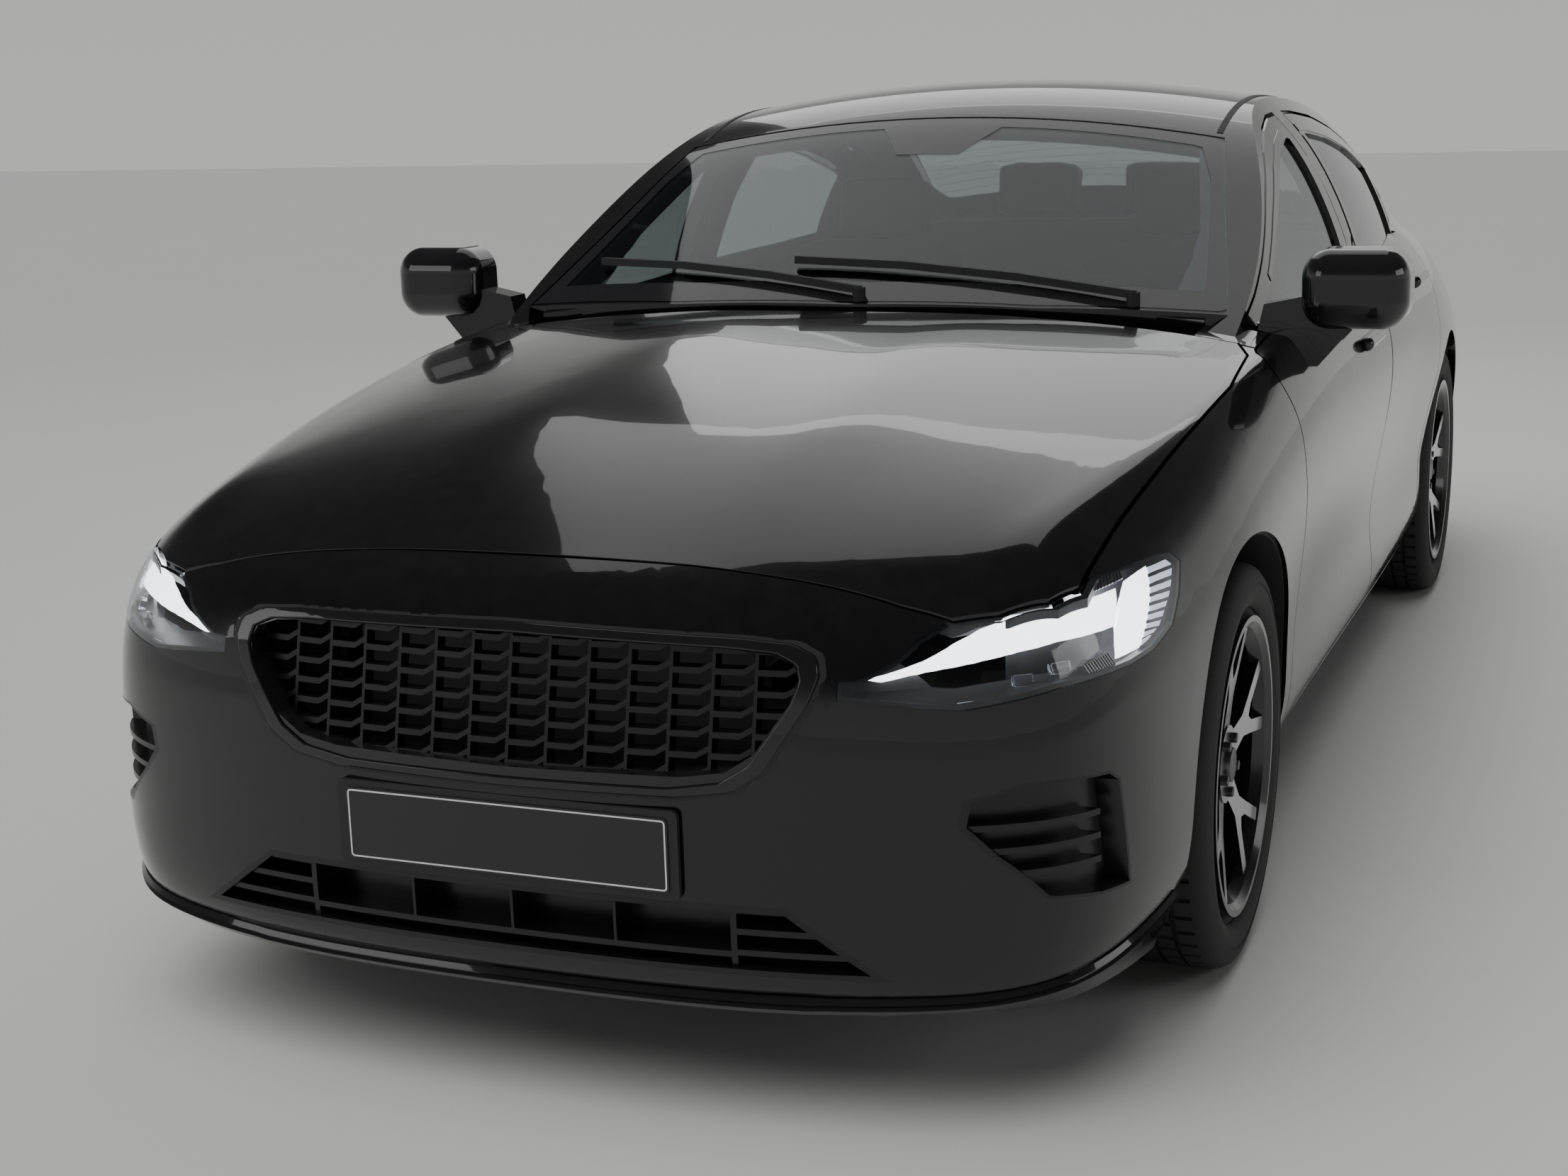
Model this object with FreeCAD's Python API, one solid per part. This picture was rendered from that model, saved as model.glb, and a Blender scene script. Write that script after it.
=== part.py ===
import FreeCAD, Part
import math
import os

from FreeCAD import Vector

# Sedan car. Front at -Y, the car's left side at +X, ground at Z = 0, millimetres.
# The origin is on the ground, in the middle of the car's length and width.
# Stations along the car are measured from the nose and turned into Y by along().

SIZES = (
    ("overall_length", 4761.0),
    ("body_width", 1850.0),
    ("overall_height", 1431.0),
    ("wheelbase", 2872.0),
    ("front_overhang", 872.0),
    ("track", 1580.0),
    ("tyre_radius", 335.0),
    ("tyre_width", 235.0),
    ("rim_radius", 248.0),
    ("rim_inset", 5.0),
    ("panel_gap", 5.0),
    ("frame_gap", 8.0),
    ("skin_wall", 8.0),
    ("panel_wall", 22.0),
    ("frame_wall", 42.0),
    ("roof_wall", 30.0),
    ("pane_wall", 5.0),
    ("pane_setback", 8.0),
    ("arch_radius", 386.0),
    ("liner_wall", 4.0),
    ("liner_inner", 590.0),
    ("seat_clearance", 0.3),
    ("shaft_clearance", 0.5),
    ("door_edge_radius", 74.0),
    ("door_hinge_inset", 40.0),
    ("front_hinge_station", 1420.0),
    ("rear_hinge_station", 2600.0),
    ("rear_door_reach", 855.0),
    ("lamp_depth", 70.0),
    ("housing_depth", 60.0),
    ("guide_depth", 34.0),
    ("lens_wall", 4.0),
    ("housing_wall", 6.0),
    ("grille_mesh_depth", 22.0),
    ("grille_bow_radius", 3040.0),
    ("grille_mesh_setback", 20.0),
    ("grille_pitch", 62.0),
    ("grille_rib", 5.0),
    ("grille_row_pitch", 29.0),
    ("grille_blade", 8.5),
    ("grille_hook_rise", 10.0),
    ("louvre_wall", 9.0),
    ("wiper_width", 13.0),
    ("wiper_height", 15.0),
    ("handle_length", 210.0),
    ("handle_radius", 15.0),
    ("handle_reach", 8.0),
    ("exhaust_radius", 29.0),
    ("fin_length", 150.0),
    ("fin_height", 46.0),
    ("fin_width", 34.0),
    ("arch_inner", 500.0),
    ("arch_frame", 45.0),
    ("mirror_width", 196.0),
    ("mirror_depth", 170.0),
    ("mirror_height", 148.0),
    ("cabin_half_width", 795.0),
    ("sill_inner_half_width", 735.0),
    ("floor_level", 190.0),
    ("floor_wall", 25.0),
    ("overrun", 60.0),
)

document = FreeCAD.newDocument("sedan_car")
sheet = document.addObject("Spreadsheet::Sheet", "sizes")
for row, (alias, value) in enumerate(SIZES, 1):
    sheet.set("A%d" % row, alias)
    sheet.set("B%d" % row, repr(value))
    sheet.setAlias("B%d" % row, alias)
document.recompute()


def size(alias):
    """Reads one driving size from the sheet."""
    return float(sheet.get(alias))


LENGTH = size("overall_length")
HALF = size("body_width") / 2
HEIGHT = size("overall_height")
GAP = size("panel_gap")
OVERRUN = size("overrun")
FRONT_AXLE = size("front_overhang")
REAR_AXLE = FRONT_AXLE + size("wheelbase")
WHEEL_X = size("track") / 2
AXLE_Z = size("tyre_radius")

SEW_TOLERANCE = 0.01

# Plan outline at its widest, from the middle of the nose to the middle of the tail:
# shares of the half width and of the length.
OUTLINE_SHARES = (
    (0.0, 0.0000), (0.17, 0.0003), (0.33, 0.0020), (0.49, 0.0056), (0.64, 0.0120), (0.775, 0.0218),
    (0.872, 0.0370), (0.928, 0.0590), (0.965, 0.0900), (0.987, 0.1300), (0.998, 0.1760),
    (0.999, 0.2260), (0.996, 0.2800), (0.992, 0.3500), (0.992, 0.4300), (0.994, 0.5200),
    (0.997, 0.6000), (1.000, 0.6700), (1.005, 0.7300), (1.005, 0.7860), (0.995, 0.8400),
    (0.970, 0.8850), (0.925, 0.9230), (0.850, 0.9520), (0.735, 0.9740), (0.590, 0.9875),
    (0.400, 0.9960), (0.200, 0.9992), (0.0, 1.0000),
)

# Wall sections, from the bottom edge up to the belt: (inset, height) as shares of the
# half width and of the height, each at one place along the outline (share of its stations).
WALL_SHARES = {
    0.00: ((0.070, 0.112), (0.020, 0.128), (0.002, 0.165), (0.004, 0.235), (0.004, 0.300),
           (-0.002, 0.375), (0.008, 0.445), (0.038, 0.498), (0.100, 0.534), (0.195, 0.556)),
    0.18: ((0.075, 0.112), (0.022, 0.130), (0.002, 0.170), (0.004, 0.240), (0.006, 0.305),
           (0.004, 0.380), (0.020, 0.445), (0.055, 0.498), (0.118, 0.533), (0.198, 0.562)),
    0.30: ((0.110, 0.112), (0.045, 0.145), (0.006, 0.200), (0.000, 0.270), (0.004, 0.345),
           (0.014, 0.415), (0.034, 0.476), (0.067, 0.522), (0.113, 0.558), (0.175, 0.592)),
    0.36: ((0.130, 0.112), (0.060, 0.155), (0.012, 0.220), (0.000, 0.300), (0.000, 0.380),
           (0.004, 0.455), (0.018, 0.520), (0.040, 0.562), (0.080, 0.598), (0.140, 0.624)),
    0.46: ((0.120, 0.112), (0.070, 0.150), (0.030, 0.205), (0.040, 0.290), (0.020, 0.390),
           (0.000, 0.480), (0.002, 0.550), (0.012, 0.602), (0.042, 0.644), (0.072, 0.676)),
    0.56: ((0.110, 0.112), (0.065, 0.150), (0.026, 0.205), (0.062, 0.280), (0.044, 0.375),
           (0.010, 0.485), (0.000, 0.560), (0.014, 0.615), (0.042, 0.655), (0.070, 0.690)),
    0.64: ((0.115, 0.112), (0.070, 0.155), (0.030, 0.215), (0.045, 0.300), (0.020, 0.400),
           (0.000, 0.495), (0.012, 0.573), (0.040, 0.631), (0.080, 0.674), (0.124, 0.704)),
    0.70: ((0.135, 0.112), (0.080, 0.170), (0.034, 0.228), (0.022, 0.310), (0.008, 0.405),
           (0.006, 0.490), (0.032, 0.560), (0.074, 0.620), (0.128, 0.669), (0.198, 0.704)),
    0.76: ((0.150, 0.112), (0.085, 0.185), (0.034, 0.242), (0.006, 0.322), (0.002, 0.410),
           (0.016, 0.490), (0.048, 0.562), (0.096, 0.622), (0.158, 0.670), (0.245, 0.708)),
    0.84: ((0.150, 0.112), (0.075, 0.190), (0.025, 0.250), (0.000, 0.330), (0.004, 0.420),
           (0.022, 0.510), (0.055, 0.588), (0.104, 0.648), (0.166, 0.690), (0.262, 0.720)),
    1.00: ((0.150, 0.112), (0.070, 0.190), (0.020, 0.250), (0.000, 0.335), (0.010, 0.430),
           (0.040, 0.530), (0.052, 0.620), (0.060, 0.700), (0.078, 0.744), (0.160, 0.752)),
}

# Heights of the middle line of bonnet and boot deck, as shares of the length and the height.
DECK_SHARES = (
    (0.030, 0.546), (0.055, 0.580), (0.090, 0.620), (0.130, 0.646), (0.180, 0.669), (0.230, 0.688),
    (0.300, 0.708), (0.350, 0.718), (0.800, 0.764), (0.850, 0.762), (0.880, 0.760), (0.930, 0.756),
    (0.975, 0.751), (1.000, 0.745),
)
TOP_ROW_SHARES = (0.10, 0.26, 0.44, 0.62, 0.78, 0.90, 1.0)
RING_FRONT_SHARE = 0.355
RING_REAR_SHARE = 0.790
RING_WIDTH_SHARE = 0.74
RING_POWER_SHARE = 1.6
CROWN_POWER_SHARE = 2.6
RIDGE_PLACE_SHARE = 0.31
RIDGE_WIDTH_SHARE = 0.075
RIDGE_LIFT_SHARE = 0.0065
RIDGE_REACH_SHARES = ((0.04, 0.0), (0.10, 1.0), (0.24, 1.0), (0.32, 0.0))

# Side of the upper body: (half width, height) in shares, up from below the belt and over the roof.
SIDE_SHARES = (
    (0.945, 0.600), (0.932, 0.655), (0.908, 0.715), (0.876, 0.775), (0.836, 0.832), (0.789, 0.884),
    (0.737, 0.926), (0.675, 0.966), (0.600, 1.005), (0.480, 1.050), (0.240, 1.080), (0.0, 1.090),
)
# How wide and how tall that side is along the car, as shares.
TAPER_SHARES = (
    (0.22, 0.80), (0.30, 0.885), (0.34, 0.917), (0.38, 0.930), (0.42, 0.940), (0.46, 0.952),
    (0.52, 0.975), (0.58, 0.988), (0.64, 0.982), (0.70, 0.960), (0.76, 0.922), (0.84, 0.862), (0.90, 0.80),
)
REAR_FALL_SHARES = ((0.52, 1.0), (0.60, 0.985), (0.68, 0.945), (0.74, 0.885), (0.80, 0.80), (0.90, 0.66))
SIDE_STATION_SHARES = (0.20, 0.24, 0.28, 0.32, 0.36, 0.40, 0.45, 0.50, 0.55, 0.60, 0.65, 0.70, 0.75,
                       0.80, 0.85, 0.90)

# Middle line of windscreen, roof and rear window, and how far it drops towards the side.
ROOF_SHARES = (
    (0.215, 0.552), (0.255, 0.622), (0.2925, 0.688), (0.3275, 0.748), (0.3615, 0.806), (0.3945, 0.863),
    (0.4265, 0.920), (0.4545, 0.962), (0.484, 0.988), (0.516, 1.001), (0.552, 1.004), (0.594, 0.999),
    (0.635, 0.987), (0.675, 0.968), (0.710, 0.942), (0.745, 0.900), (0.780, 0.848), (0.815, 0.795),
    (0.850, 0.742), (0.890, 0.680), (0.930, 0.620),
)
ROOF_WIDTH_SHARES = (-1.0, -0.8, -0.55, -0.28, 0.0, 0.28, 0.55, 0.8, 1.0)
ROOF_DROP_SHARES = ((0.20, 0.050), (0.30, 0.056), (0.38, 0.074), (0.45, 0.090), (0.50, 0.086),
                    (0.66, 0.086), (0.74, 0.095), (0.82, 0.100), (0.93, 0.100))


def between(low, high, share):
    """A value part of the way from one to the other."""
    return low + (high - low) * share


def along(station):
    """The Y of a station measured back from the nose."""
    return station - LENGTH / 2


def table_value(table, place):
    """Reads a table of (place, value) pairs."""
    if place <= table[0][0]:
        return table[0][1]
    for (start, first), (end, second) in zip(table, table[1:]):
        if place <= end:
            return between(first, second, (place - start) / (end - start))
    return table[-1][1]


def wall_value(place, row, column):
    """Inset or height share of one wall row at one place along the outline."""
    table = [(key, WALL_SHARES[key][row][column]) for key in sorted(WALL_SHARES)]
    return table_value(table, place)


def outline_inward(index):
    """Unit direction that points into the car from one station of the outline."""
    last = len(OUTLINE_SHARES) - 1
    if index == 0:
        return Vector(0, 1, 0)
    if index == last:
        return Vector(0, -1, 0)
    before = OUTLINE_SHARES[index - 1]
    after = OUTLINE_SHARES[index + 1]
    tangent = Vector((after[0] - before[0]) * HALF, (after[1] - before[1]) * LENGTH, 0)
    tangent.normalize()
    return Vector(-tangent.y, tangent.x, 0)


def ring_point(index):
    """Where a station's rows end, on a rounded ring inside the cabin."""
    wide, place = OUTLINE_SHARES[index]
    ahead = place ** RING_POWER_SHARE
    behind = (1.0 - place) ** RING_POWER_SHARE
    share = between(RING_FRONT_SHARE, RING_REAR_SHARE, ahead / (ahead + behind))
    low = table_value(DECK_SHARES, RING_FRONT_SHARE)
    high = table_value(DECK_SHARES, RING_REAR_SHARE)
    level = between(low, high, (share - RING_FRONT_SHARE) / (RING_REAR_SHARE - RING_FRONT_SHARE))
    return Vector(RING_WIDTH_SHARE * HALF * min(wide, 1.0), share * LENGTH, level * HEIGHT)


def belt_point(index):
    """The belt pole of one station, with Y measured from the nose."""
    wide, place = OUTLINE_SHARES[index]
    last = len(WALL_SHARES[0.0]) - 1
    stations = len(OUTLINE_SHARES) - 1
    depth = wall_value(index / stations, last, 0) * HALF
    point = Vector(wide * HALF, place * LENGTH, 0) + outline_inward(index) * depth
    point.z = wall_value(index / stations, last, 1) * HEIGHT
    return point


def side_tables():
    """Half width and height of the belt along the car, for the crown of bonnet and deck."""
    points = [belt_point(index) for index in range(len(OUTLINE_SHARES))]
    order = sorted(points, key=lambda point: point.y)
    kept = [point for point in order if point.x > HALF / 2]
    return [(point.y, point.x) for point in kept], [(point.y, point.z) for point in kept]


BELT_WIDTHS, BELT_HEIGHTS = side_tables()


def deck_height(x, y):
    """Height of the bonnet or boot deck, crowned between its two sides."""
    middle = table_value(DECK_SHARES, y / LENGTH) * HEIGHT
    side = table_value(BELT_HEIGHTS, y)
    across = min(abs(x) / table_value(BELT_WIDTHS, y), 1.0) ** CROWN_POWER_SHARE
    beside = (abs(x) / HALF - RIDGE_PLACE_SHARE) / RIDGE_WIDTH_SHARE
    ridge = RIDGE_LIFT_SHARE * HEIGHT * math.exp(-beside * beside) * table_value(RIDGE_REACH_SHARES, y / LENGTH)
    return middle - (middle - side) * across + ridge


def body_poles(inset, drop, seam_at_tail):
    """Rows of poles round the lower body, moved inwards by an inset and down by a drop."""
    stations = len(OUTLINE_SHARES) - 1
    half_rows = []
    for index, (wide, place) in enumerate(OUTLINE_SHARES):
        ring = ring_point(index)
        base = Vector(wide * HALF, place * LENGTH, 0)
        inward = outline_inward(index)
        rows = []
        for row in range(len(WALL_SHARES[0.0])):
            depth = wall_value(index / stations, row, 0) * HALF
            point = base + inward * depth
            point.z = wall_value(index / stations, row, 1) * HEIGHT
            rows.append(point)
        belt = rows[-1]
        for share in TOP_ROW_SHARES[:-1]:
            x = between(belt.x, ring.x, share)
            y = between(belt.y, ring.y, share)
            rows.append(Vector(x, y, deck_height(x, y)))
        rows.append(ring)
        walls = len(WALL_SHARES[0.0])
        moved = [point + inward * inset * min(1.0, (len(rows) - 1 - n) / 6.0) for n, point in enumerate(rows)]
        half_rows.append([Vector(point.x, along(point.y), point.z - drop * (n >= walls - 2))
                          for n, point in enumerate(moved)])
    mirrored = [[Vector(-point.x, point.y, point.z) for point in rows] for rows in half_rows[-2:0:-1]]
    poles = half_rows + mirrored
    first = len(half_rows) - 2 if seam_at_tail else -1
    return poles[first:] + poles[:first]


def net_surface(poles, periodic):
    """A cubic surface over a net of poles, closed round the first direction if asked."""
    count = len(poles)
    rows = len(poles[0])
    if periodic:
        knots = list(range(count + 1))
        mults = [1] * (count + 1)
    else:
        knots = list(range(count - 2))
        mults = [4] + [1] * (count - 4) + [4]
    row_knots = list(range(rows - 2))
    row_mults = [4] + [1] * (rows - 4) + [4]
    surface = Part.BSplineSurface()
    surface.buildFromPolesMultsKnots(poles, mults, row_mults, knots, row_knots, periodic, False, 3, 3)
    return surface


def closed_solid(faces):
    """A solid from faces that meet edge to edge."""
    shell = Part.Compound(faces)
    shell.sewShape()
    solid = Part.Solid(shell.Shells[0])
    solid.fix(SEW_TOLERANCE, SEW_TOLERANCE, SEW_TOLERANCE)
    if solid.Volume < 0:
        solid.reverse()
    return solid


def body_volume(inset, drop, seam_at_tail=True):
    """The lower body as one closed volume, from its bottom edge to the ring in the cabin."""
    face = net_surface(body_poles(inset, drop, seam_at_tail), True).toShape()
    rims = [edge for edge in face.Edges if edge.isClosed()]
    return closed_solid([face] + [Part.Face(Part.Wire([rim])) for rim in rims])


def side_volume(inset):
    """The upper body between its two sides, taller than the roof, moved in by an inset."""
    poles = []
    for place in SIDE_STATION_SHARES:
        taper = table_value(TAPER_SHARES, place)
        fall = table_value(REAR_FALL_SHARES, place)
        base = SIDE_SHARES[0][1]
        half = []
        for wide, tall in SIDE_SHARES:
            x = max(wide * taper * HALF - inset, 0.0) if wide else 0.0
            z = (base + (tall - base) * fall) * HEIGHT
            half.append(Vector(x, along(place * LENGTH), z - inset * (1.0 - wide)))
        poles.append(half + [Vector(-point.x, point.y, point.z) for point in half[-2::-1]])
    surface = net_surface(poles, False)
    face = surface.toShape()
    front = [edge for edge in face.Edges if edge.BoundBox.YLength < 1.0 and edge.BoundBox.YMin < 0]
    rear = [edge for edge in face.Edges if edge.BoundBox.YLength < 1.0 and edge.BoundBox.YMin > 0]
    ends = []
    feet = []
    for edge in (front[0], rear[0]):
        foot = Part.makeLine(edge.Vertexes[0].Point, edge.Vertexes[-1].Point)
        feet.append(foot)
        ends.append(Part.Face(Part.Wire(Part.__sortEdges__([edge, foot]))))
    sides = [edge for edge in face.Edges if edge.BoundBox.YLength > LENGTH / 3]
    bottom = Part.Face(Part.Wire(Part.__sortEdges__(sides + feet)))
    return closed_solid([face, bottom] + ends)


def roof_volume(drop):
    """Everything under windscreen, roof and rear window, moved down by a drop."""
    poles = []
    for place, tall in ROOF_SHARES:
        fall = table_value(ROOF_DROP_SHARES, place)
        poles.append([Vector(wide * HALF, along(place * LENGTH), (tall - fall * wide * wide) * HEIGHT - drop)
                      for wide in ROOF_WIDTH_SHARES])
    face = net_surface(poles, False).toShape()
    return face.extrude(Vector(0, 0, -HEIGHT))


HINGE_X = HALF - size("door_hinge_inset")
FRONT_HINGE = size("front_hinge_station")
REAR_HINGE = size("rear_hinge_station")
FRONT_DOOR_REACH = REAR_HINGE - size("door_edge_radius") - GAP - FRONT_HINGE
REAR_DOOR_REACH = size("rear_door_reach")
LAMP_DEPTH = size("lamp_depth")
ARCH_INNER = size("arch_inner")
DOOR_ARCH_RADIUS = size("arch_radius") + size("arch_frame")
CABIN_FRONT = FRONT_HINGE - size("door_edge_radius") - OVERRUN
CABIN_REAR = REAR_HINGE + REAR_DOOR_REACH + size("frame_wall")
DOOR_FOOT_HALF = 0.755 * HALF
DOOR_FOOT_REAR = 0.340 * LENGTH
SILL_BOTTOM = size("floor_level")
SILL_TOP = 0.168 * HEIGHT
SILL_FRONT = FRONT_AXLE + size("arch_radius") / 2
SILL_REAR = REAR_AXLE - size("arch_radius") / 2
BELT_SHARE = 0.655
DOOR_BOTTOM_SHARE = 0.172
DOOR_TOP_SHARES = (
    (0.273, 0.676), (0.318, 0.682), (0.344, 0.716), (0.371, 0.759), (0.413, 0.830), (0.453, 0.890),
    (0.480, 0.918), (0.506, 0.934), (0.534, 0.938), (0.567, 0.935), (0.609, 0.924), (0.651, 0.902),
    (0.693, 0.868), (0.735, 0.820),
)
WINDOW_SHARES = (
    (0.332, 0.676), (0.520, 0.690), (0.660, 0.700), (0.720, 0.708), (0.760, 0.726), (0.786, 0.756),
    (0.760, 0.778), (0.735, 0.796), (0.693, 0.836), (0.651, 0.868), (0.609, 0.890), (0.567, 0.904),
    (0.534, 0.907), (0.508, 0.903), (0.482, 0.887), (0.4545, 0.855), (0.4135, 0.795), (0.3715, 0.724),
)
FRONT_WINDOW = (FRONT_HINGE, FRONT_HINGE + FRONT_DOOR_REACH * 0.93)
REAR_WINDOW = (REAR_HINGE + size("frame_wall"), REAR_HINGE + REAR_DOOR_REACH * 0.91)
QUARTER_WINDOW = (REAR_HINGE + REAR_DOOR_REACH + size("frame_wall") / 2, REAR_HINGE + REAR_DOOR_REACH * 2)
MIRROR_HALF_SIZE = (size("mirror_width") / 2, size("mirror_depth") / 2, size("mirror_height") / 2)
MIRROR_CENTRE = (1.040 * HALF, FRONT_HINGE + 2.2 * MIRROR_HALF_SIZE[1], 0.732 * HEIGHT)
MIRROR_ROUND_SHARE = 0.62
DOOR_NOSE_INNER = HINGE_X - size("door_edge_radius")
DOOR_NOSE_REAR = MIRROR_CENTRE[1] - MIRROR_HALF_SIZE[1] / 2 - GAP
MIRROR_FOOT_SHARES = ((0.84, 0.655), (0.90, 0.630), (0.97, 0.632), (1.06, 0.700), (0.98, 0.728), (0.86, 0.712))
HANDLES = ((0.974 * HALF, 0.4703 * LENGTH, 0.612 * HEIGHT), (0.961 * HALF, 0.6648 * LENGTH, 0.641 * HEIGHT))
HOOD_SHARES = (
    (-0.835, 0.2995), (-0.868, 0.2840), (-0.880, 0.240), (-0.868, 0.190), (-0.853, 0.140), (-0.841, 0.105),
    (-0.836, 0.080), (-0.832, 0.0625), (-0.803, 0.0508), (-0.744, 0.0395), (-0.680, 0.0325), (-0.600, 0.0315),
    (-0.450, 0.0330), (-0.250, 0.0346), (0.0, 0.0352), (0.250, 0.0346), (0.450, 0.0330), (0.600, 0.0315),
    (0.680, 0.0325), (0.744, 0.0395), (0.803, 0.0508), (0.832, 0.0625), (0.836, 0.080), (0.841, 0.105),
    (0.853, 0.140), (0.868, 0.190), (0.880, 0.240), (0.868, 0.2840), (0.835, 0.2995),
)
HOOD_GROWTH_SHARES = (1, 1, 0, 0, 0, 0, 0, -1, -1, -1, -1, -1, -1, -1, -1, -1, -1, -1, -1, -1, -1, -1,
                      0, 0, 0, 0, 0, 1, 1)
LID_SHARES = (
    (-0.72, 0.842), (0.72, 0.842), (0.74, 0.900), (0.70, 0.950), (0.62, 0.985), (0.62, 1.010),
    (-0.62, 1.010), (-0.62, 0.985), (-0.70, 0.950), (-0.74, 0.900),
)
LID_GROWTH_SHARES = (-1, -1, 0, 0, 1, 1, 1, 1, 0, 0)
LID_BOTTOM = 0.520 * HEIGHT
LEDGE_HOLE_SHARE = 0.92
LAMP_SHARES = (
    (-0.0050, 0.452), (0.0145, 0.462), (0.0246, 0.4975), (0.0326, 0.515), (0.0390, 0.520), (0.0500, 0.529),
    (0.0666, 0.533), (0.0900, 0.533), (0.1070, 0.533), (0.1150, 0.530), (0.1185, 0.519), (0.1080, 0.489),
    (0.0980, 0.466), (0.0820, 0.453), (0.0680, 0.4495), (0.0530, 0.449), (0.0390, 0.447), (0.0290, 0.440),
    (0.0220, 0.434), (0.0180, 0.436), (0.0120, 0.444), (-0.0050, 0.449),
)
LIGHT_SHARES = (
    (0.0153, 0.4640), (0.0215, 0.4790), (0.0280, 0.4960), (0.0340, 0.5080), (0.0400, 0.5150),
    (0.0530, 0.5190), (0.0710, 0.5205), (0.0860, 0.5235), (0.0965, 0.5290), (0.1120, 0.5285),
    (0.1150, 0.5190), (0.1060, 0.4960), (0.0925, 0.4720), (0.0800, 0.4620), (0.0700, 0.4580),
    (0.0640, 0.4590), (0.0660, 0.4730), (0.0670, 0.4840), (0.0610, 0.4880), (0.0455, 0.4900),
    (0.0355, 0.4860), (0.0280, 0.4790), (0.0210, 0.4710), (0.0163, 0.4620),
)
LAMP_INNER = 0.535 * HALF
TAIL_SHARES = ((0.925, 0.575), (0.935, 0.520), (1.010, 0.520), (1.010, 0.640), (0.945, 0.630))
TAIL_INNER = 0.48 * HALF
BUMPER_SHARES = (
    (-0.01, 0.08), (-0.01, 0.60), (0.0335, 0.60), (0.0335, 0.500), (0.100, 0.4875), (0.160, 0.4875),
    (0.175, 0.43), (0.175, 0.08),
)
REAR_BUMPER_SHARES = ((0.84, 0.08), (0.84, 0.44), (0.89, 0.505), (1.02, 0.505), (1.02, 0.08))
GRILLE_SHARES = (
    (-0.30, 0.3400), (0.0, 0.3375), (0.30, 0.3400), (0.39, 0.3500), (0.44, 0.3720), (0.505, 0.4400),
    (0.519, 0.4660), (0.512, 0.4850), (0.475, 0.4960), (0.39, 0.5000), (0.0, 0.5045), (-0.39, 0.5000),
    (-0.475, 0.4960), (-0.512, 0.4850), (-0.519, 0.4660), (-0.505, 0.4400), (-0.44, 0.3720),
    (-0.39, 0.3500),
)
GRILLE_HOLE_SHARES = (
    (-0.30, 0.3640), (0.0, 0.3605), (0.30, 0.3640), (0.37, 0.3710), (0.415, 0.3900), (0.468, 0.4400),
    (0.478, 0.4630), (0.468, 0.4760), (0.43, 0.4840), (0.36, 0.4880), (0.0, 0.4915), (-0.36, 0.4880),
    (-0.43, 0.4840), (-0.468, 0.4760), (-0.478, 0.4630), (-0.468, 0.4400), (-0.415, 0.3900),
    (-0.37, 0.3710),
)
GRILLE_TILT = 11.8
GRILLE_BLADE_FLAT_SHARE = 0.70
INTAKE_SHARES = ((-0.612, 0.163), (0.612, 0.163), (0.456, 0.236), (-0.456, 0.236))
INTAKE_POST_SHARE = 0.372
INTAKE_RIB_SHARES = (-0.178, 0.0, 0.178)
INTAKE_RIB_LEVEL_SHARES = (0.186, 0.236)
POD_LOUVRE_SHARES = (0.182, 0.204, 0.226)
VENT_SHARES = (
    (0.0183, 0.320), (0.0189, 0.348), (0.0280, 0.362), (0.0506, 0.357), (0.0550, 0.346), (0.0594, 0.233),
    (0.0466, 0.234), (0.0313, 0.242), (0.0223, 0.290),
)
VENT_BLADE_SHARES = (0.266, 0.290, 0.314)
VENT_BLADE_REACH_SHARE = 0.0485
VENT_INNER = 0.62 * HALF
LIP_SHARES = (
    (-0.02, 0.0), (-0.02, 0.137), (0.006, 0.138), (0.025, 0.148), (0.060, 0.166), (0.105, 0.192),
    (0.180, 0.192), (0.180, 0.0),
)
REAR_LIP_SHARES = ((0.83, 0.0), (0.83, 0.190), (0.90, 0.178), (0.96, 0.165), (1.02, 0.165), (1.02, 0.0))
GRILLE_BACK = 0.06 * LENGTH
FENDER_FRONT = 0.055 * LENGTH
FENDER_REAR = FRONT_HINGE
ROOF_SHARES_PLAN = ((-0.640, 0.4515), (0.640, 0.4515), (0.625, 0.702), (-0.625, 0.702))
SCREEN_SHARES = (
    (-0.795, 0.3235), (-0.40, 0.3125), (0.0, 0.3090), (0.40, 0.3125), (0.795, 0.3235), (0.655, 0.4495),
    (-0.655, 0.4495),
)
BACKLIGHT_SHARES = (
    (-0.62, 0.704), (0.62, 0.704), (0.68, 0.800), (0.66, 0.828), (0.0, 0.838), (-0.66, 0.828),
    (-0.68, 0.800),
)
HINGE_POST = (FRONT_HINGE - size("door_edge_radius") * 2, FRONT_HINGE - size("door_edge_radius") / 2)
MIDDLE_POST = (REAR_HINGE - size("door_edge_radius") * 2, REAR_HINGE + size("door_edge_radius"))

TYRE_SHARES = ((0.80, 0.0), (0.86, 0.12), (0.97, 0.35), (1.0, 0.55), (0.96, 0.80), (0.86, 0.95), (0.74, 1.0))
RIM_WALL = size("rim_radius") * 0.04
HUB_RADIUS = size("rim_radius") * 0.26
DISC_RADIUS = size("rim_radius") * 0.70
DISC_WALL = size("rim_radius") * 0.11
DISC_CLEARANCE = size("panel_gap") * 1.2
CALIPER_RADIUS = size("rim_radius") * 0.84
SPINDLE_RADIUS = size("rim_radius") * 0.08
SHAFT_CLEARANCE = size("shaft_clearance")
SEAT_CLEARANCE = size("seat_clearance")
RAIL_WALL = size("body_width") * 0.042
FLOOR_REAR = size("overall_length") * 0.725
SHELF_FRONT = size("overall_length") * 0.765
SPOKES = 5
SPOKE_DEPTH = size("rim_radius") * 0.13
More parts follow.
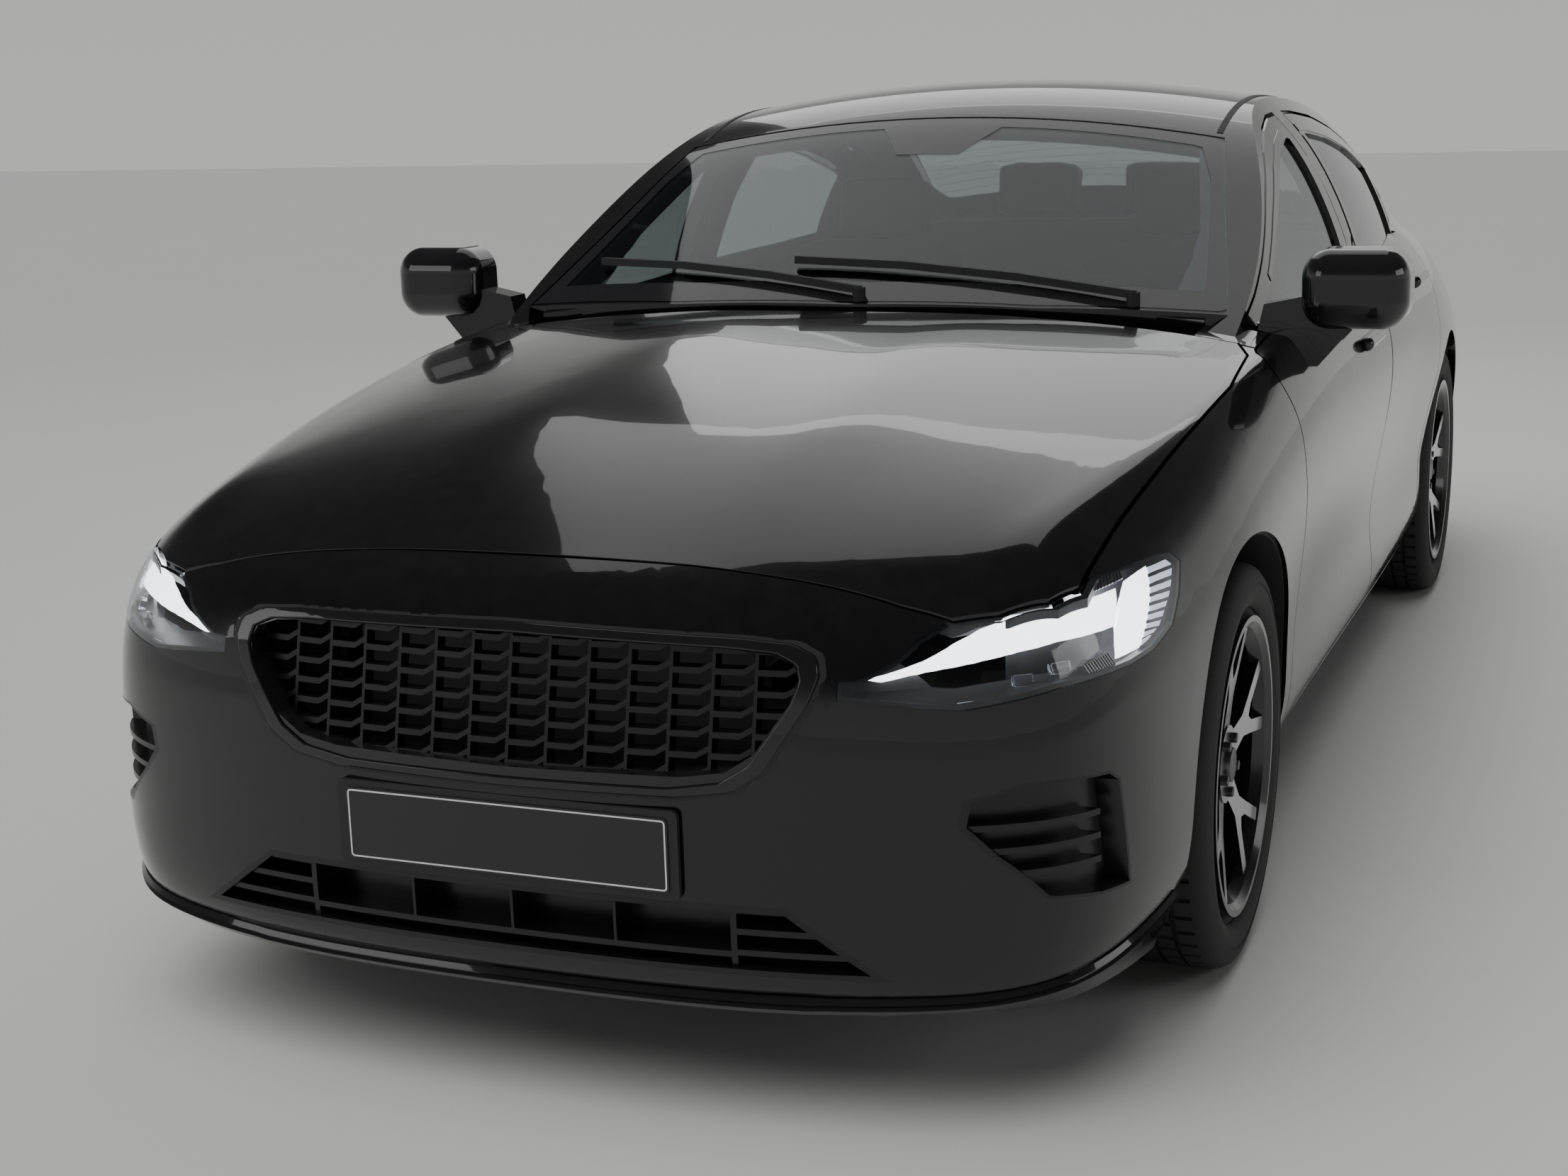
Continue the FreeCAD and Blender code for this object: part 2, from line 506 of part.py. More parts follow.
SPOKE_SHARES = (
    (0.20, -0.105), (0.46, -0.085), (0.60, -0.150), (0.985, -0.345), (0.985, -0.245), (0.640, -0.065),
    (0.585, 0.0), (0.640, 0.065), (0.985, 0.245), (0.985, 0.345), (0.60, 0.150), (0.46, 0.085),
    (0.20, 0.105),
)
SPOKE_DISH = 7.0
SPINDLE_BACK = size("track") * 0.045
KNUCKLE_HALF = size("rim_radius") * 0.11
BALL_DROP = size("rim_radius") * 0.50
ARM_WALL = size("rim_radius") * 0.12
ARM_SPREAD = size("rim_radius") * 0.55
SUBFRAME_HALF = size("track") * 0.20
DAMPER_X = size("track") * 0.335
DAMPER_TOP = size("overall_height") * 0.53
DAMPER_RADIUS = size("rim_radius") * 0.16
TUNNEL_HALF = size("body_width") * 0.075
TUNNEL_RISE = size("overall_height") * 0.10
BOOT_FLOOR = size("overall_height") * 0.36
BOOT_REAR = size("overall_length") * 0.965
SEAT_X = size("body_width") * 0.205
SEAT_HALF = size("body_width") * 0.14
REAR_SEAT_HALF = size("body_width") * 0.36
SEAT_LONG = size("overall_length") * 0.108
SEAT_HEIGHT = size("overall_height") * 0.20
BACK_TALL = size("overall_height") * 0.38
FRONT_SEAT = size("overall_length") * 0.425
REAR_SEAT = size("overall_length") * 0.580
DASH_SHARES = ((0.304, 0.46), (0.372, 0.46), (0.372, 0.600), (0.352, 0.650), (0.330, 0.652), (0.316, 0.640),
               (0.304, 0.615))
DASH_HALF = size("body_width") * 0.375
SCUTTLE_INNER = size("body_width") * 0.325
SCREEN_FOOT = size("overall_length") * 0.330
POST_TOP = size("overall_height") * 0.612
COWL_SHARES = (
    (-0.745, 0.3010), (0.745, 0.3010), (0.745, 0.3170), (0.40, 0.3115), (0.0, 0.3080), (-0.40, 0.3115),
    (-0.745, 0.3170),
)
COWL_EDGE_SHARES = ((-0.795, 0.3225), (-0.40, 0.3115), (0.0, 0.3080), (0.40, 0.3115), (0.795, 0.3225))
WIPER_SHARES = (((0.60, 0.322), (-0.16, 0.334)), ((0.02, 0.313), (-0.66, 0.346)))
WIPER_STEPS = 3
WIPER_LIFT = size("pane_wall")
SCREEN_CENTRE = size("overall_length") * 0.385
BACKLIGHT_CENTRE = size("overall_length") * 0.765
FLANGE_SHARE = 0.92
REAR_CABIN_HALF = size("body_width") * 0.36
REAR_CABIN_END = size("overall_length") * 0.832
FIN_STATION = size("overall_length") * 0.660
BOOT_HALF = size("track") * 0.304
EXHAUST_X = size("track") * 0.12
EXHAUST_FRONT = size("overall_length") * 0.30
EXHAUST_REAR = size("overall_length") * 0.975
MUFFLER_LONG = size("overall_length") * 0.06
RADIATOR_HALF = size("body_width") * 0.178
RADIATOR_WALL = size("overall_length") * 0.0105
HUB_SINK = size("rim_radius") * 0.12
WHEEL_RING = size("body_width") * 0.10
COLUMN_LONG = size("overall_length") * 0.05
COLUMN_TILT = 24.0
ENGINE_HALF = size("body_width") * 0.12
ENGINE_FRONT = size("overall_length") * 0.12
RAIL_FRONT = size("overall_length") * 0.065


def prism(points, push):
    """A flat outline swept straight along a vector."""
    return Part.Face(Part.makePolygon(points + [points[0]])).extrude(push)


def side_prism(outline, low, high):
    """A side-view outline of (station, height) pairs, swept across from low X to high X."""
    points = [Vector(low, along(station), level) for station, level in outline]
    return prism(points, Vector(high - low, 0, 0))


def plan_prism(outline, low, high):
    """A plan outline of (x, station) pairs, swept up from low Z to high Z."""
    points = [Vector(x, along(station), low) for x, station in outline]
    return prism(points, Vector(0, 0, high - low))


def front_prism(outline, low, high):
    """A front-view outline of (x, height) pairs, swept back from one station to another."""
    points = [Vector(x, along(low), level) for x, level in outline]
    return prism(points, Vector(0, high - low, 0))


def block(x_low, x_high, station_low, station_high, z_low, z_high):
    """An upright block between pairs of limits."""
    corner = Vector(x_low, along(station_low), z_low)
    return Part.makeBox(x_high - x_low, station_high - station_low, z_high - z_low, corner)


def post(x, station, z_low, z_high, radius):
    """An upright cylinder."""
    return Part.makeCylinder(radius, z_high - z_low, Vector(x, along(station), z_low))


def cross_tube(station, level, x_low, x_high, radius):
    """A cylinder along X."""
    return Part.makeCylinder(radius, x_high - x_low, Vector(x_low, along(station), level), Vector(1, 0, 0))


def bar(start, end, wide, tall):
    """A straight bar of rectangular section, its underside on a line between two points."""
    run = end - start
    rod = Part.makeBox(run.Length, wide, tall, Vector(0, -wide / 2, 0))
    rod.rotate(Vector(0, 0, 0), Vector(0, 1, 0), -math.degrees(math.asin(run.z / run.Length)))
    rod.rotate(Vector(0, 0, 0), Vector(0, 0, 1), math.degrees(math.atan2(run.y, run.x)))
    rod.translate(start)
    return rod


def mirrored(shape):
    """The same shape on the car's other side."""
    return shape.mirror(Vector(0, 0, 0), Vector(1, 0, 0))


def both(shape):
    """A left shape together with its mirror image."""
    return Part.Compound([shape, mirrored(shape)])


def largest(shape):
    """The one solid that matters where a cut leaves crumbs."""
    return max(shape.Solids, key=lambda solid: solid.Volume)


def add(label, shape):
    """Puts one sub-part into the document."""
    piece = document.addObject("Part::Feature", label)
    piece.Shape = shape
    piece.Label = label
    return piece


def add_pair(stem, shape):
    """A left sub-part and its mirror image on the right."""
    add(stem + "_left", shape)
    add(stem + "_right", mirrored(shape))


OUTER = body_volume(0.0, 0.0)
OUTER_REAR = body_volume(0.0, 0.0, False)
SKIN_IN = body_volume(size("skin_wall"), size("skin_wall"))
SKIN_IN_REAR = body_volume(size("skin_wall"), size("skin_wall"), False)
PANEL_IN = body_volume(size("panel_wall"), size("panel_wall"))
PANEL_IN_REAR = body_volume(size("panel_wall"), size("panel_wall"), False)
LENS_IN = body_volume(size("lens_wall"), size("lens_wall"))
HOUSING_FACE = body_volume(size("lens_wall") + size("seat_clearance"), size("lens_wall") + size("seat_clearance"))
GUIDE_IN = body_volume(size("guide_depth"), size("guide_depth"))
HOUSING_IN = body_volume(size("housing_depth"), size("housing_depth"))
LAMP_IN = body_volume(LAMP_DEPTH, LAMP_DEPTH)
LAMP_IN_REAR = body_volume(LAMP_DEPTH, LAMP_DEPTH, False)
SIDES = side_volume(0.0)
ROOF = roof_volume(0.0)
UPPER = SIDES.common(ROOF)
FRAME_IN = side_volume(size("frame_wall")).common(roof_volume(size("frame_wall")))
ROOF_IN = side_volume(size("frame_wall")).common(roof_volume(size("roof_wall")))
PANE_OUT = side_volume(size("pane_setback"))
PANE_IN = side_volume(size("pane_setback") + size("pane_wall"))
UPPER_SHELL = UPPER.cut(FRAME_IN)

ARCH_FRONT = cross_tube(FRONT_AXLE, AXLE_Z, ARCH_INNER, HALF + OVERRUN, size("arch_radius"))
ARCH_REAR = cross_tube(REAR_AXLE, AXLE_Z, ARCH_INNER, HALF + OVERRUN, size("arch_radius"))


def hinge_keep(hinge, radius_front, radius_rear, grow):
    """What a door may fill: behind its hinge line, or near it, and not beyond its far edge."""
    low = size("floor_level") - OVERRUN
    high = HEIGHT + OVERRUN
    x = HINGE_X
    near = post(x, hinge, low, high, radius_front + grow)
    far = post(x, hinge, low, high, radius_rear + grow)
    behind = block(x - radius_rear, x + OVERRUN * 2, hinge - grow, hinge + radius_rear * 2, low, high)
    return far.common(behind).fuse(near)


FRONT_KEEP = hinge_keep(FRONT_HINGE, size("door_edge_radius"), FRONT_DOOR_REACH, 0.0)
REAR_KEEP = hinge_keep(REAR_HINGE, size("door_edge_radius"), REAR_DOOR_REACH, 0.0)
FRONT_CLEAR = hinge_keep(FRONT_HINGE, size("door_edge_radius"), FRONT_DOOR_REACH, GAP)
REAR_CLEAR = hinge_keep(REAR_HINGE, size("door_edge_radius"), REAR_DOOR_REACH, GAP)


def door_outline(raise_by, lower_by):
    """Side view of both doors, from the sill line to the cant rail, made larger on request."""
    top = [(station * LENGTH, level * HEIGHT + raise_by) for station, level in DOOR_TOP_SHARES]
    low = DOOR_BOTTOM_SHARE * HEIGHT - lower_by
    return [(top[0][0], low)] + top + [(top[-1][0], low)]


def door_zone(grow):
    """The space of both doors on the left side."""
    outline = door_outline(grow * size("frame_gap"), grow * GAP)
    zone = side_prism(outline, size("sill_inner_half_width") - OVERRUN * 2, HALF + OVERRUN)
    zone = zone.cut(block(0, DOOR_FOOT_HALF, 0, DOOR_FOOT_REAR, 0, HEIGHT))
    zone = zone.cut(block(0, DOOR_NOSE_INNER - grow * GAP, 0, DOOR_NOSE_REAR - grow * GAP, 0, HEIGHT))
    arch = cross_tube(REAR_AXLE, AXLE_Z, ARCH_INNER, HALF + OVERRUN * 2, DOOR_ARCH_RADIUS - grow * GAP)
    return zone.cut(arch)


DOOR_ZONE = door_zone(0)
DOOR_CLEAR = door_zone(1)
WINDOW_OUTLINE = [(station * LENGTH, level * HEIGHT) for station, level in WINDOW_SHARES]
WINDOW_ZONE = side_prism(WINDOW_OUTLINE, ARCH_INNER / 2, HALF + OVERRUN)
CABIN = block(-size("cabin_half_width"), size("cabin_half_width"), CABIN_FRONT, CABIN_REAR,
              size("floor_level") - OVERRUN, HEIGHT + OVERRUN)
LEFT_HALF = block(0, HALF + OVERRUN, -OVERRUN, LENGTH + OVERRUN, 0, HEIGHT + OVERRUN)


def handle(place):
    """A pull handle, half sunk in the door's side."""
    length = size("handle_length")
    radius = size("handle_radius")
    start = Vector(place[0] + size("handle_reach"), along(place[1]) - length / 2, place[2])
    grip = Part.makeCylinder(radius, length, start, Vector(0, 1, 0))
    return grip.makeFillet(radius * 0.9, [edge for edge in grip.Edges if edge.isClosed()])


def door(keep, window_low, window_high, handle_place):
    """One left door: the full-depth lower part, the window frame and the pane in it."""
    lower = OUTER.cut(CABIN).common(DOOR_ZONE).common(keep)
    frame = UPPER_SHELL.common(DOOR_ZONE).common(keep)
    leaf = lower.fuse([frame, handle(handle_place)])
    band = block(0, HALF + OVERRUN, window_low, window_high, BELT_SHARE * HEIGHT, HEIGHT)
    opening = WINDOW_ZONE.common(band)
    leaf = largest(leaf.cut(opening.cut(OUTER)))
    pane = PANE_OUT.cut(PANE_IN).common(opening).cut(OUTER).common(LEFT_HALF)
    return leaf, largest(pane)


def mirror_and_foot():
    """Left mirror: a rounded head on a short foot at the front of the door's shoulder."""
    half_wide, half_deep, half_tall = MIRROR_HALF_SIZE
    x, station, level = MIRROR_CENTRE
    head = block(x - half_wide, x + half_wide, station - half_deep, station + half_deep / 3,
                 level - half_tall, level + half_tall)
    back = along(station + half_deep / 3)
    kept = [edge for edge in head.Edges if edge.BoundBox.YMin < back - half_deep / 9]
    head = head.makeFillet(half_deep * MIRROR_ROUND_SHARE, kept)
    outline = [(x * HALF, level * HEIGHT) for x, level in MIRROR_FOOT_SHARES]
    foot = front_prism(outline, station - half_deep / 2, station + half_deep / 4)
    return largest(head.fuse(foot).cut(OUTER).cut(SIDES))


def doors():
    front, front_pane = door(FRONT_KEEP, FRONT_WINDOW[0], FRONT_WINDOW[1], HANDLES[0])
    rear, rear_pane = door(REAR_KEEP, REAR_WINDOW[0], REAR_WINDOW[1], HANDLES[1])
    add_pair("front_door", front)
    add_pair("front_door_pane", front_pane)
    add_pair("rear_door", rear)
    add_pair("rear_door_pane", rear_pane)
    add_pair("mirror", mirror_and_foot())


HOOD_ZONE = plan_prism([(x * HALF, station * LENGTH) for x, station in HOOD_SHARES], HEIGHT / 3, HEIGHT)
HOOD_CLEAR = plan_prism([(x * HALF + (GAP if x > 0 else -GAP), station * LENGTH + grow * GAP)
                         for (x, station), grow in zip(HOOD_SHARES, HOOD_GROWTH_SHARES)], HEIGHT / 3, HEIGHT)
LID_ZONE = plan_prism([(x * HALF, station * LENGTH) for x, station in LID_SHARES], LID_BOTTOM, HEIGHT)
LID_CLEAR = plan_prism([(x * HALF + (GAP if x > 0 else -GAP), station * LENGTH + grow * GAP)
                        for (x, station), grow in zip(LID_SHARES, LID_GROWTH_SHARES)], LID_BOTTOM - GAP, HEIGHT)
LAMP_ZONE = side_prism([(station * LENGTH, level * HEIGHT) for station, level in LAMP_SHARES],
                       LAMP_INNER, HALF + OVERRUN)
LIGHT_ZONE = side_prism([(station * LENGTH, level * HEIGHT) for station, level in LIGHT_SHARES],
                        LAMP_INNER, HALF + OVERRUN)
TAIL_ZONE = side_prism([(station * LENGTH, level * HEIGHT) for station, level in TAIL_SHARES],
                       TAIL_INNER, HALF + OVERRUN)
VENT_ZONE = side_prism([(station * LENGTH, level * HEIGHT) for station, level in VENT_SHARES],
                       VENT_INNER, HALF + OVERRUN)
BUMPER_ZONE = side_prism([(station * LENGTH, level * HEIGHT) for station, level in BUMPER_SHARES],
                         -HALF - OVERRUN, HALF + OVERRUN)
REAR_BUMPER_ZONE = side_prism([(station * LENGTH, level * HEIGHT) for station, level in REAR_BUMPER_SHARES],
                              -HALF - OVERRUN, HALF + OVERRUN)
LIP_ZONE = side_prism([(station * LENGTH, level * HEIGHT) for station, level in LIP_SHARES],
                      -HALF - OVERRUN, HALF + OVERRUN)
REAR_LIP_ZONE = side_prism([(station * LENGTH, level * HEIGHT) for station, level in REAR_LIP_SHARES],
                           -HALF - OVERRUN, HALF + OVERRUN)
BOTH_LAMPS = LAMP_ZONE.fuse(mirrored(LAMP_ZONE))
BOTH_TAILS = TAIL_ZONE.fuse(mirrored(TAIL_ZONE))
BOTH_VENTS = VENT_ZONE.fuse(mirrored(VENT_ZONE))
GRILLE_ZONE = front_prism([(x * HALF, level * HEIGHT) for x, level in GRILLE_SHARES], -OVERRUN, GRILLE_BACK)
GRILLE_HOLE = front_prism([(x * HALF, level * HEIGHT) for x, level in GRILLE_HOLE_SHARES], -OVERRUN, GRILLE_BACK)
INTAKE_ZONE = front_prism([(x * HALF, level * HEIGHT) for x, level in INTAKE_SHARES], -OVERRUN, GRILLE_BACK)
SCREEN_ZONE = plan_prism([(x * HALF, station * LENGTH) for x, station in SCREEN_SHARES], HEIGHT / 2, HEIGHT * 2)
BACKLIGHT_ZONE = plan_prism([(x * HALF, station * LENGTH) for x, station in BACKLIGHT_SHARES],
                            HEIGHT / 2, HEIGHT * 2)
BOTH_SCREENS = SCREEN_ZONE.fuse(BACKLIGHT_ZONE)


def shrunk(outline, margin):
    """A closed outline of (first, second) lengths moved inwards by a margin."""
    wire = Part.makePolygon([Vector(first, second, 0) for first, second in outline + outline[:1]])
    inner = wire.makeOffset2D(-margin, 2)
    return [(vertex.X, vertex.Y) for vertex in inner.OrderedVertexes]


def margin_zone(shares, margin, low, high):
    """A side-view zone with a margin all round."""
    return side_prism(shrunk([(station * LENGTH, level * HEIGHT) for station, level in shares], margin), low, high)


def bonnet():
    shape = OUTER.cut(PANEL_IN).common(HOOD_ZONE)
    add("bonnet", largest(shape))


def front_fenders():
    skin = OUTER.cut(SKIN_IN).common(LEFT_HALF)
    skin = skin.common(block(0, HALF + OVERRUN, FENDER_FRONT, FENDER_REAR, SILL_TOP, HEIGHT))
    skin = skin.cut(HOOD_CLEAR).cut(BUMPER_ZONE).cut(LAMP_ZONE).cut(ARCH_FRONT).cut(FRONT_CLEAR)
    skin = skin.cut(SIDES.common(block(0, HALF, CABIN_FRONT - OVERRUN, LENGTH / 2, HEIGHT / 2, HEIGHT)))
    add("front_fenders", both(largest(skin)))


def front_bumper():
    skin = OUTER.cut(SKIN_IN).common(BUMPER_ZONE)
    skin = skin.cut(HOOD_CLEAR).cut(BOTH_LAMPS).cut(GRILLE_ZONE).cut(INTAKE_ZONE).cut(BOTH_VENTS)
    skin = skin.cut(ARCH_FRONT).cut(mirrored(ARCH_FRONT)).cut(LIP_ZONE)
    add("front_bumper", largest(skin))


def grille_mesh():
    """The bowed, leaning mesh: thin ribs, and blades that turn up to the next rib at one end."""
    radius = size("grille_bow_radius")
    tilt = math.radians(GRILLE_TILT)
    up = Vector(0, math.sin(tilt), math.cos(tilt))
    back = Vector(0, math.cos(tilt), -math.sin(tilt))
    front = Vector(0, along(size("grille_mesh_setback")), GRILLE_HOLE_SHARES[1][1] * HEIGHT)
    start = front + back * radius - up * OVERRUN * 2
    tall = OVERRUN * 7
    slab = Part.makeCylinder(radius, tall, start, up)
    slab = slab.cut(Part.makeCylinder(radius - size("grille_mesh_depth"), tall, start, up))
    slab = slab.common(GRILLE_HOLE)
    pitch = size("grille_pitch")
    rib = size("grille_rib")
    row = size("grille_row_pitch")
    blade = size("grille_blade")
    rise = size("grille_hook_rise")
    low = GRILLE_HOLE_SHARES[1][1] * HEIGHT
    high = GRILLE_HOLE_SHARES[10][1] * HEIGHT
    reach = GRILLE_HOLE_SHARES[6][0] * HALF
    columns = int(reach / pitch) + 1
    rows = int((high - low) / row) + 1
    cells = []
    for column in range(-columns, columns):
        left = column * pitch + rib / 2
        right = (column + 1) * pitch - rib / 2
        bend = between(left, right, GRILLE_BLADE_FLAT_SHARE)
        for line in range(-1, rows):
            floor_z = low + line * row + blade / 2
            top_z = low + (line + 1) * row - blade / 2
            cell = front_prism([(left, floor_z), (bend, floor_z), (right, floor_z + rise), (right, top_z + rise),
                                (bend, top_z), (left, top_z)], -OVERRUN, GRILLE_BACK)
            cells.append(cell)
    return largest(slab.cut(cells))


def lower_grille():
    """The lower intake: rim, back, posts, louvres at both ends and thin ribs in the middle."""
    outline = [(x * HALF, level * HEIGHT) for x, level in INTAKE_SHARES]
    wall = size("louvre_wall")
    inner = front_prism(shrunk(outline, wall), -OVERRUN, GRILLE_BACK)
    post_x = INTAKE_POST_SHARE * HALF
    bars = []
    for side in (-1, 1):
        bars.append(block(side * post_x - wall / 2, side * post_x + wall / 2, -OVERRUN, GRILLE_BACK, 0, HEIGHT / 2))
        for level in POD_LOUVRE_SHARES:
            low, high = sorted((side * post_x, side * HALF))
            bars.append(block(low, high, -OVERRUN, GRILLE_BACK, level * HEIGHT, level * HEIGHT + wall))
    for place in INTAKE_RIB_SHARES:
        bars.append(block(place * HALF - wall / 4, place * HALF + wall / 4, -OVERRUN, GRILLE_BACK,
                          INTAKE_RIB_LEVEL_SHARES[0] * HEIGHT, INTAKE_RIB_LEVEL_SHARES[1] * HEIGHT))
    shelf = block(-post_x, post_x, -OVERRUN, GRILLE_BACK, INTAKE_RIB_LEVEL_SHARES[0] * HEIGHT - wall,
                  INTAKE_RIB_LEVEL_SHARES[0] * HEIGHT)
    bars = bars[0].fuse(bars[1:] + [shelf]).common(SKIN_IN)
    pocket = inner.cut(HOUSING_IN).cut(bars)
    return largest(OUTER.cut(LAMP_IN).common(INTAKE_ZONE).cut(pocket))


def corner_vent():
    """Left corner vent: a recess with three slats that stop short of its outer slot."""
    wall = size("louvre_wall")
    recess = margin_zone(VENT_SHARES, wall / 2, VENT_INNER + wall, HALF + OVERRUN)
    slats = [block(0, HALF + OVERRUN, 0, VENT_BLADE_REACH_SHARE * LENGTH, level * HEIGHT, level * HEIGHT + wall)
             for level in VENT_BLADE_SHARES]
    slats = slats[0].fuse(slats[1:]).common(SKIN_IN)
    shape = OUTER.cut(HOUSING_IN).common(VENT_ZONE)
    return largest(shape.cut(recess.cut(GUIDE_IN).cut(slats)))


def grilles():
    frame = OUTER.cut(HOUSING_IN).common(GRILLE_ZONE).cut(GRILLE_HOLE)
    add("radiator_grille", largest(frame))
    add("grille_mesh", grille_mesh())
    add("lower_grille", lower_grille())
    add("corner_vents", both(corner_vent()))


def headlamps():
    """Lenses flush with the body, the bowls behind them and the light guides in the bowls."""
    lens = largest(OUTER.cut(LENS_IN).common(LAMP_ZONE).cut(HOOD_CLEAR))
    bowl = HOUSING_FACE.cut(LAMP_IN).common(LAMP_ZONE).cut(HOOD_CLEAR)
    wall = size("housing_wall")
    inside = margin_zone(LAMP_SHARES, wall, LAMP_INNER + wall, HALF + OVERRUN)
    pocket = inside.cut(HOUSING_IN)
    hood_side = plan_prism([(x * HALF + math.copysign(wall, x) * 2, station * LENGTH) for x, station in HOOD_SHARES],
                           HEIGHT / 3, HEIGHT)
    bowl = largest(bowl.cut(pocket.cut(hood_side)))
    strip = PANEL_IN.cut(GUIDE_IN).common(LIGHT_ZONE).common(inside).cut(hood_side)
    add("headlamp_lenses", both(lens))
    add("headlamp_housings", both(bowl))
    add("daylight_strips", both(largest(strip)))


def tail_lamps():
    shape = OUTER_REAR.cut(LAMP_IN_REAR).common(TAIL_ZONE).cut(LID_CLEAR)
    add("tail_lamps", both(largest(shape)))


def rear_bumper():
    skin = OUTER_REAR.cut(SKIN_IN_REAR).common(REAR_BUMPER_ZONE)
    skin = skin.cut(ARCH_REAR).cut(mirrored(ARCH_REAR)).cut(LID_CLEAR).cut(BOTH_TAILS).cut(REAR_LIP_ZONE)
    add("rear_bumper", largest(skin))


def boot_lid():
    """The lid, and the ledge round the boot opening that it closes on."""
    add("boot_lid", largest(OUTER_REAR.cut(PANEL_IN_REAR).common(LID_ZONE)))
    seat = size("panel_wall") + SEAT_CLEARANCE
    over = body_volume(seat, seat, False)
    under = body_volume(seat + size("skin_wall"), seat + size("skin_wall"), False)
    grown = [(x * HALF + math.copysign(size("frame_wall") / 2, x), station * LENGTH + grow * size("panel_wall"))
             for (x, station), grow in zip(LID_SHARES, LID_GROWTH_SHARES)]
    ledge = over.cut(under).common(plan_prism(grown, LID_BOTTOM, HEIGHT))
    hole = [(x * HALF * LEDGE_HOLE_SHARE, (station - LID_SHARES[0][1]) * LENGTH * LEDGE_HOLE_SHARE
             + LID_SHARES[0][1] * LENGTH + size("frame_wall")) for x, station in LID_SHARES[:4]]
    hole += [(-x, station) for x, station in reversed(hole)]
    ledge = ledge.cut(plan_prism(hole[:4] + hole[6:], LID_BOTTOM + size("frame_wall"), HEIGHT))
    add("boot_ledge", largest(ledge.cut(BOTH_TAILS)))


def roof_panel():
    """The roof between its ditches, with the small fin at its rear."""
    zone = plan_prism([(x * HALF, station * LENGTH) for x, station in ROOF_SHARES_PLAN], HEIGHT / 2, HEIGHT * 2)
    panel = UPPER.cut(ROOF_IN).common(zone)
    foot = FIN_STATION
    level = table_value(ROOF_SHARES, (foot + size("fin_length")) / LENGTH) * HEIGHT - size("roof_wall") / 2
    half = size("fin_width") / 2
    top = level + size("roof_wall") / 2 + size("fin_height")
    base = [(-half, foot), (half, foot), (half, foot + size("fin_length")), (-half, foot + size("fin_length"))]
    crest = [(-half / 4, foot + size("fin_length") * 0.70), (half / 4, foot + size("fin_length") * 0.70),
             (half / 4, foot + size("fin_length") * 0.94), (-half / 4, foot + size("fin_length") * 0.94)]
    wires = []
    for outline, height in ((base, level), (crest, top)):
        points = [Vector(x, along(station), height) for x, station in outline]
        wires.append(Part.makePolygon(points + points[:1]))
    fin = Part.makeLoft(wires, True, True).cut(ROOF_IN)
    add("roof_panel", largest(panel.fuse(fin)))
    return zone


def screens():
    """Windscreen and rear window, just under the outer surface."""
    skin = roof_volume(size("pane_setback") / 4).cut(roof_volume(size("pane_setback")))
    skin = skin.common(side_volume(size("pane_setback"))).cut(OUTER)
    add("windscreen", largest(skin.common(SCREEN_ZONE)))
    add("rear_window", largest(skin.common(BACKLIGHT_ZONE)))


def glass_point(x, station, lift):
    """A point above the windscreen."""
    share = station / LENGTH
    fall = table_value(ROOF_DROP_SHARES, share) * (x / HALF) ** 2
    return Vector(x, along(station), (table_value(ROOF_SHARES, share) - fall) * HEIGHT + lift)


def cowl():
    """The dark panel between bonnet and windscreen, and the two wipers that lie on the glass."""
    outline = [(x * HALF, station * LENGTH) for x, station in COWL_SHARES]
    add("cowl_panel", largest(PANEL_IN.cut(GUIDE_IN).common(plan_prism(outline, HEIGHT / 2, HEIGHT))))
    wide = size("wiper_width")
    tall = size("wiper_height")
    wipers = []
    for pivot, tip in WIPER_SHARES:
        ends = [Vector(x * HALF, station * LENGTH, 0) for x, station in (pivot, tip)]
        points = []
        for step in range(WIPER_STEPS + 1):
            spot = ends[0] + (ends[1] - ends[0]) * (step / WIPER_STEPS)
            points.append(glass_point(spot.x, spot.y, WIPER_LIFT))
        rods = [bar(first, second, wide, tall) for first, second in zip(points, points[1:])]
        knuckles = [Part.makeCylinder(wide / 2, tall, point) for point in points]
        hub = Part.makeCylinder(wide, tall * 2, points[0] - Vector(0, 0, tall * 1.2))
        wipers.append(hub.fuse(rods + knuckles))
    glass = roof_volume(size("pane_setback") / 4 - SEAT_CLEARANCE)
    add("wipers", Part.Compound([wiper.cut(OUTER).cut(glass) for wiper in wipers]))


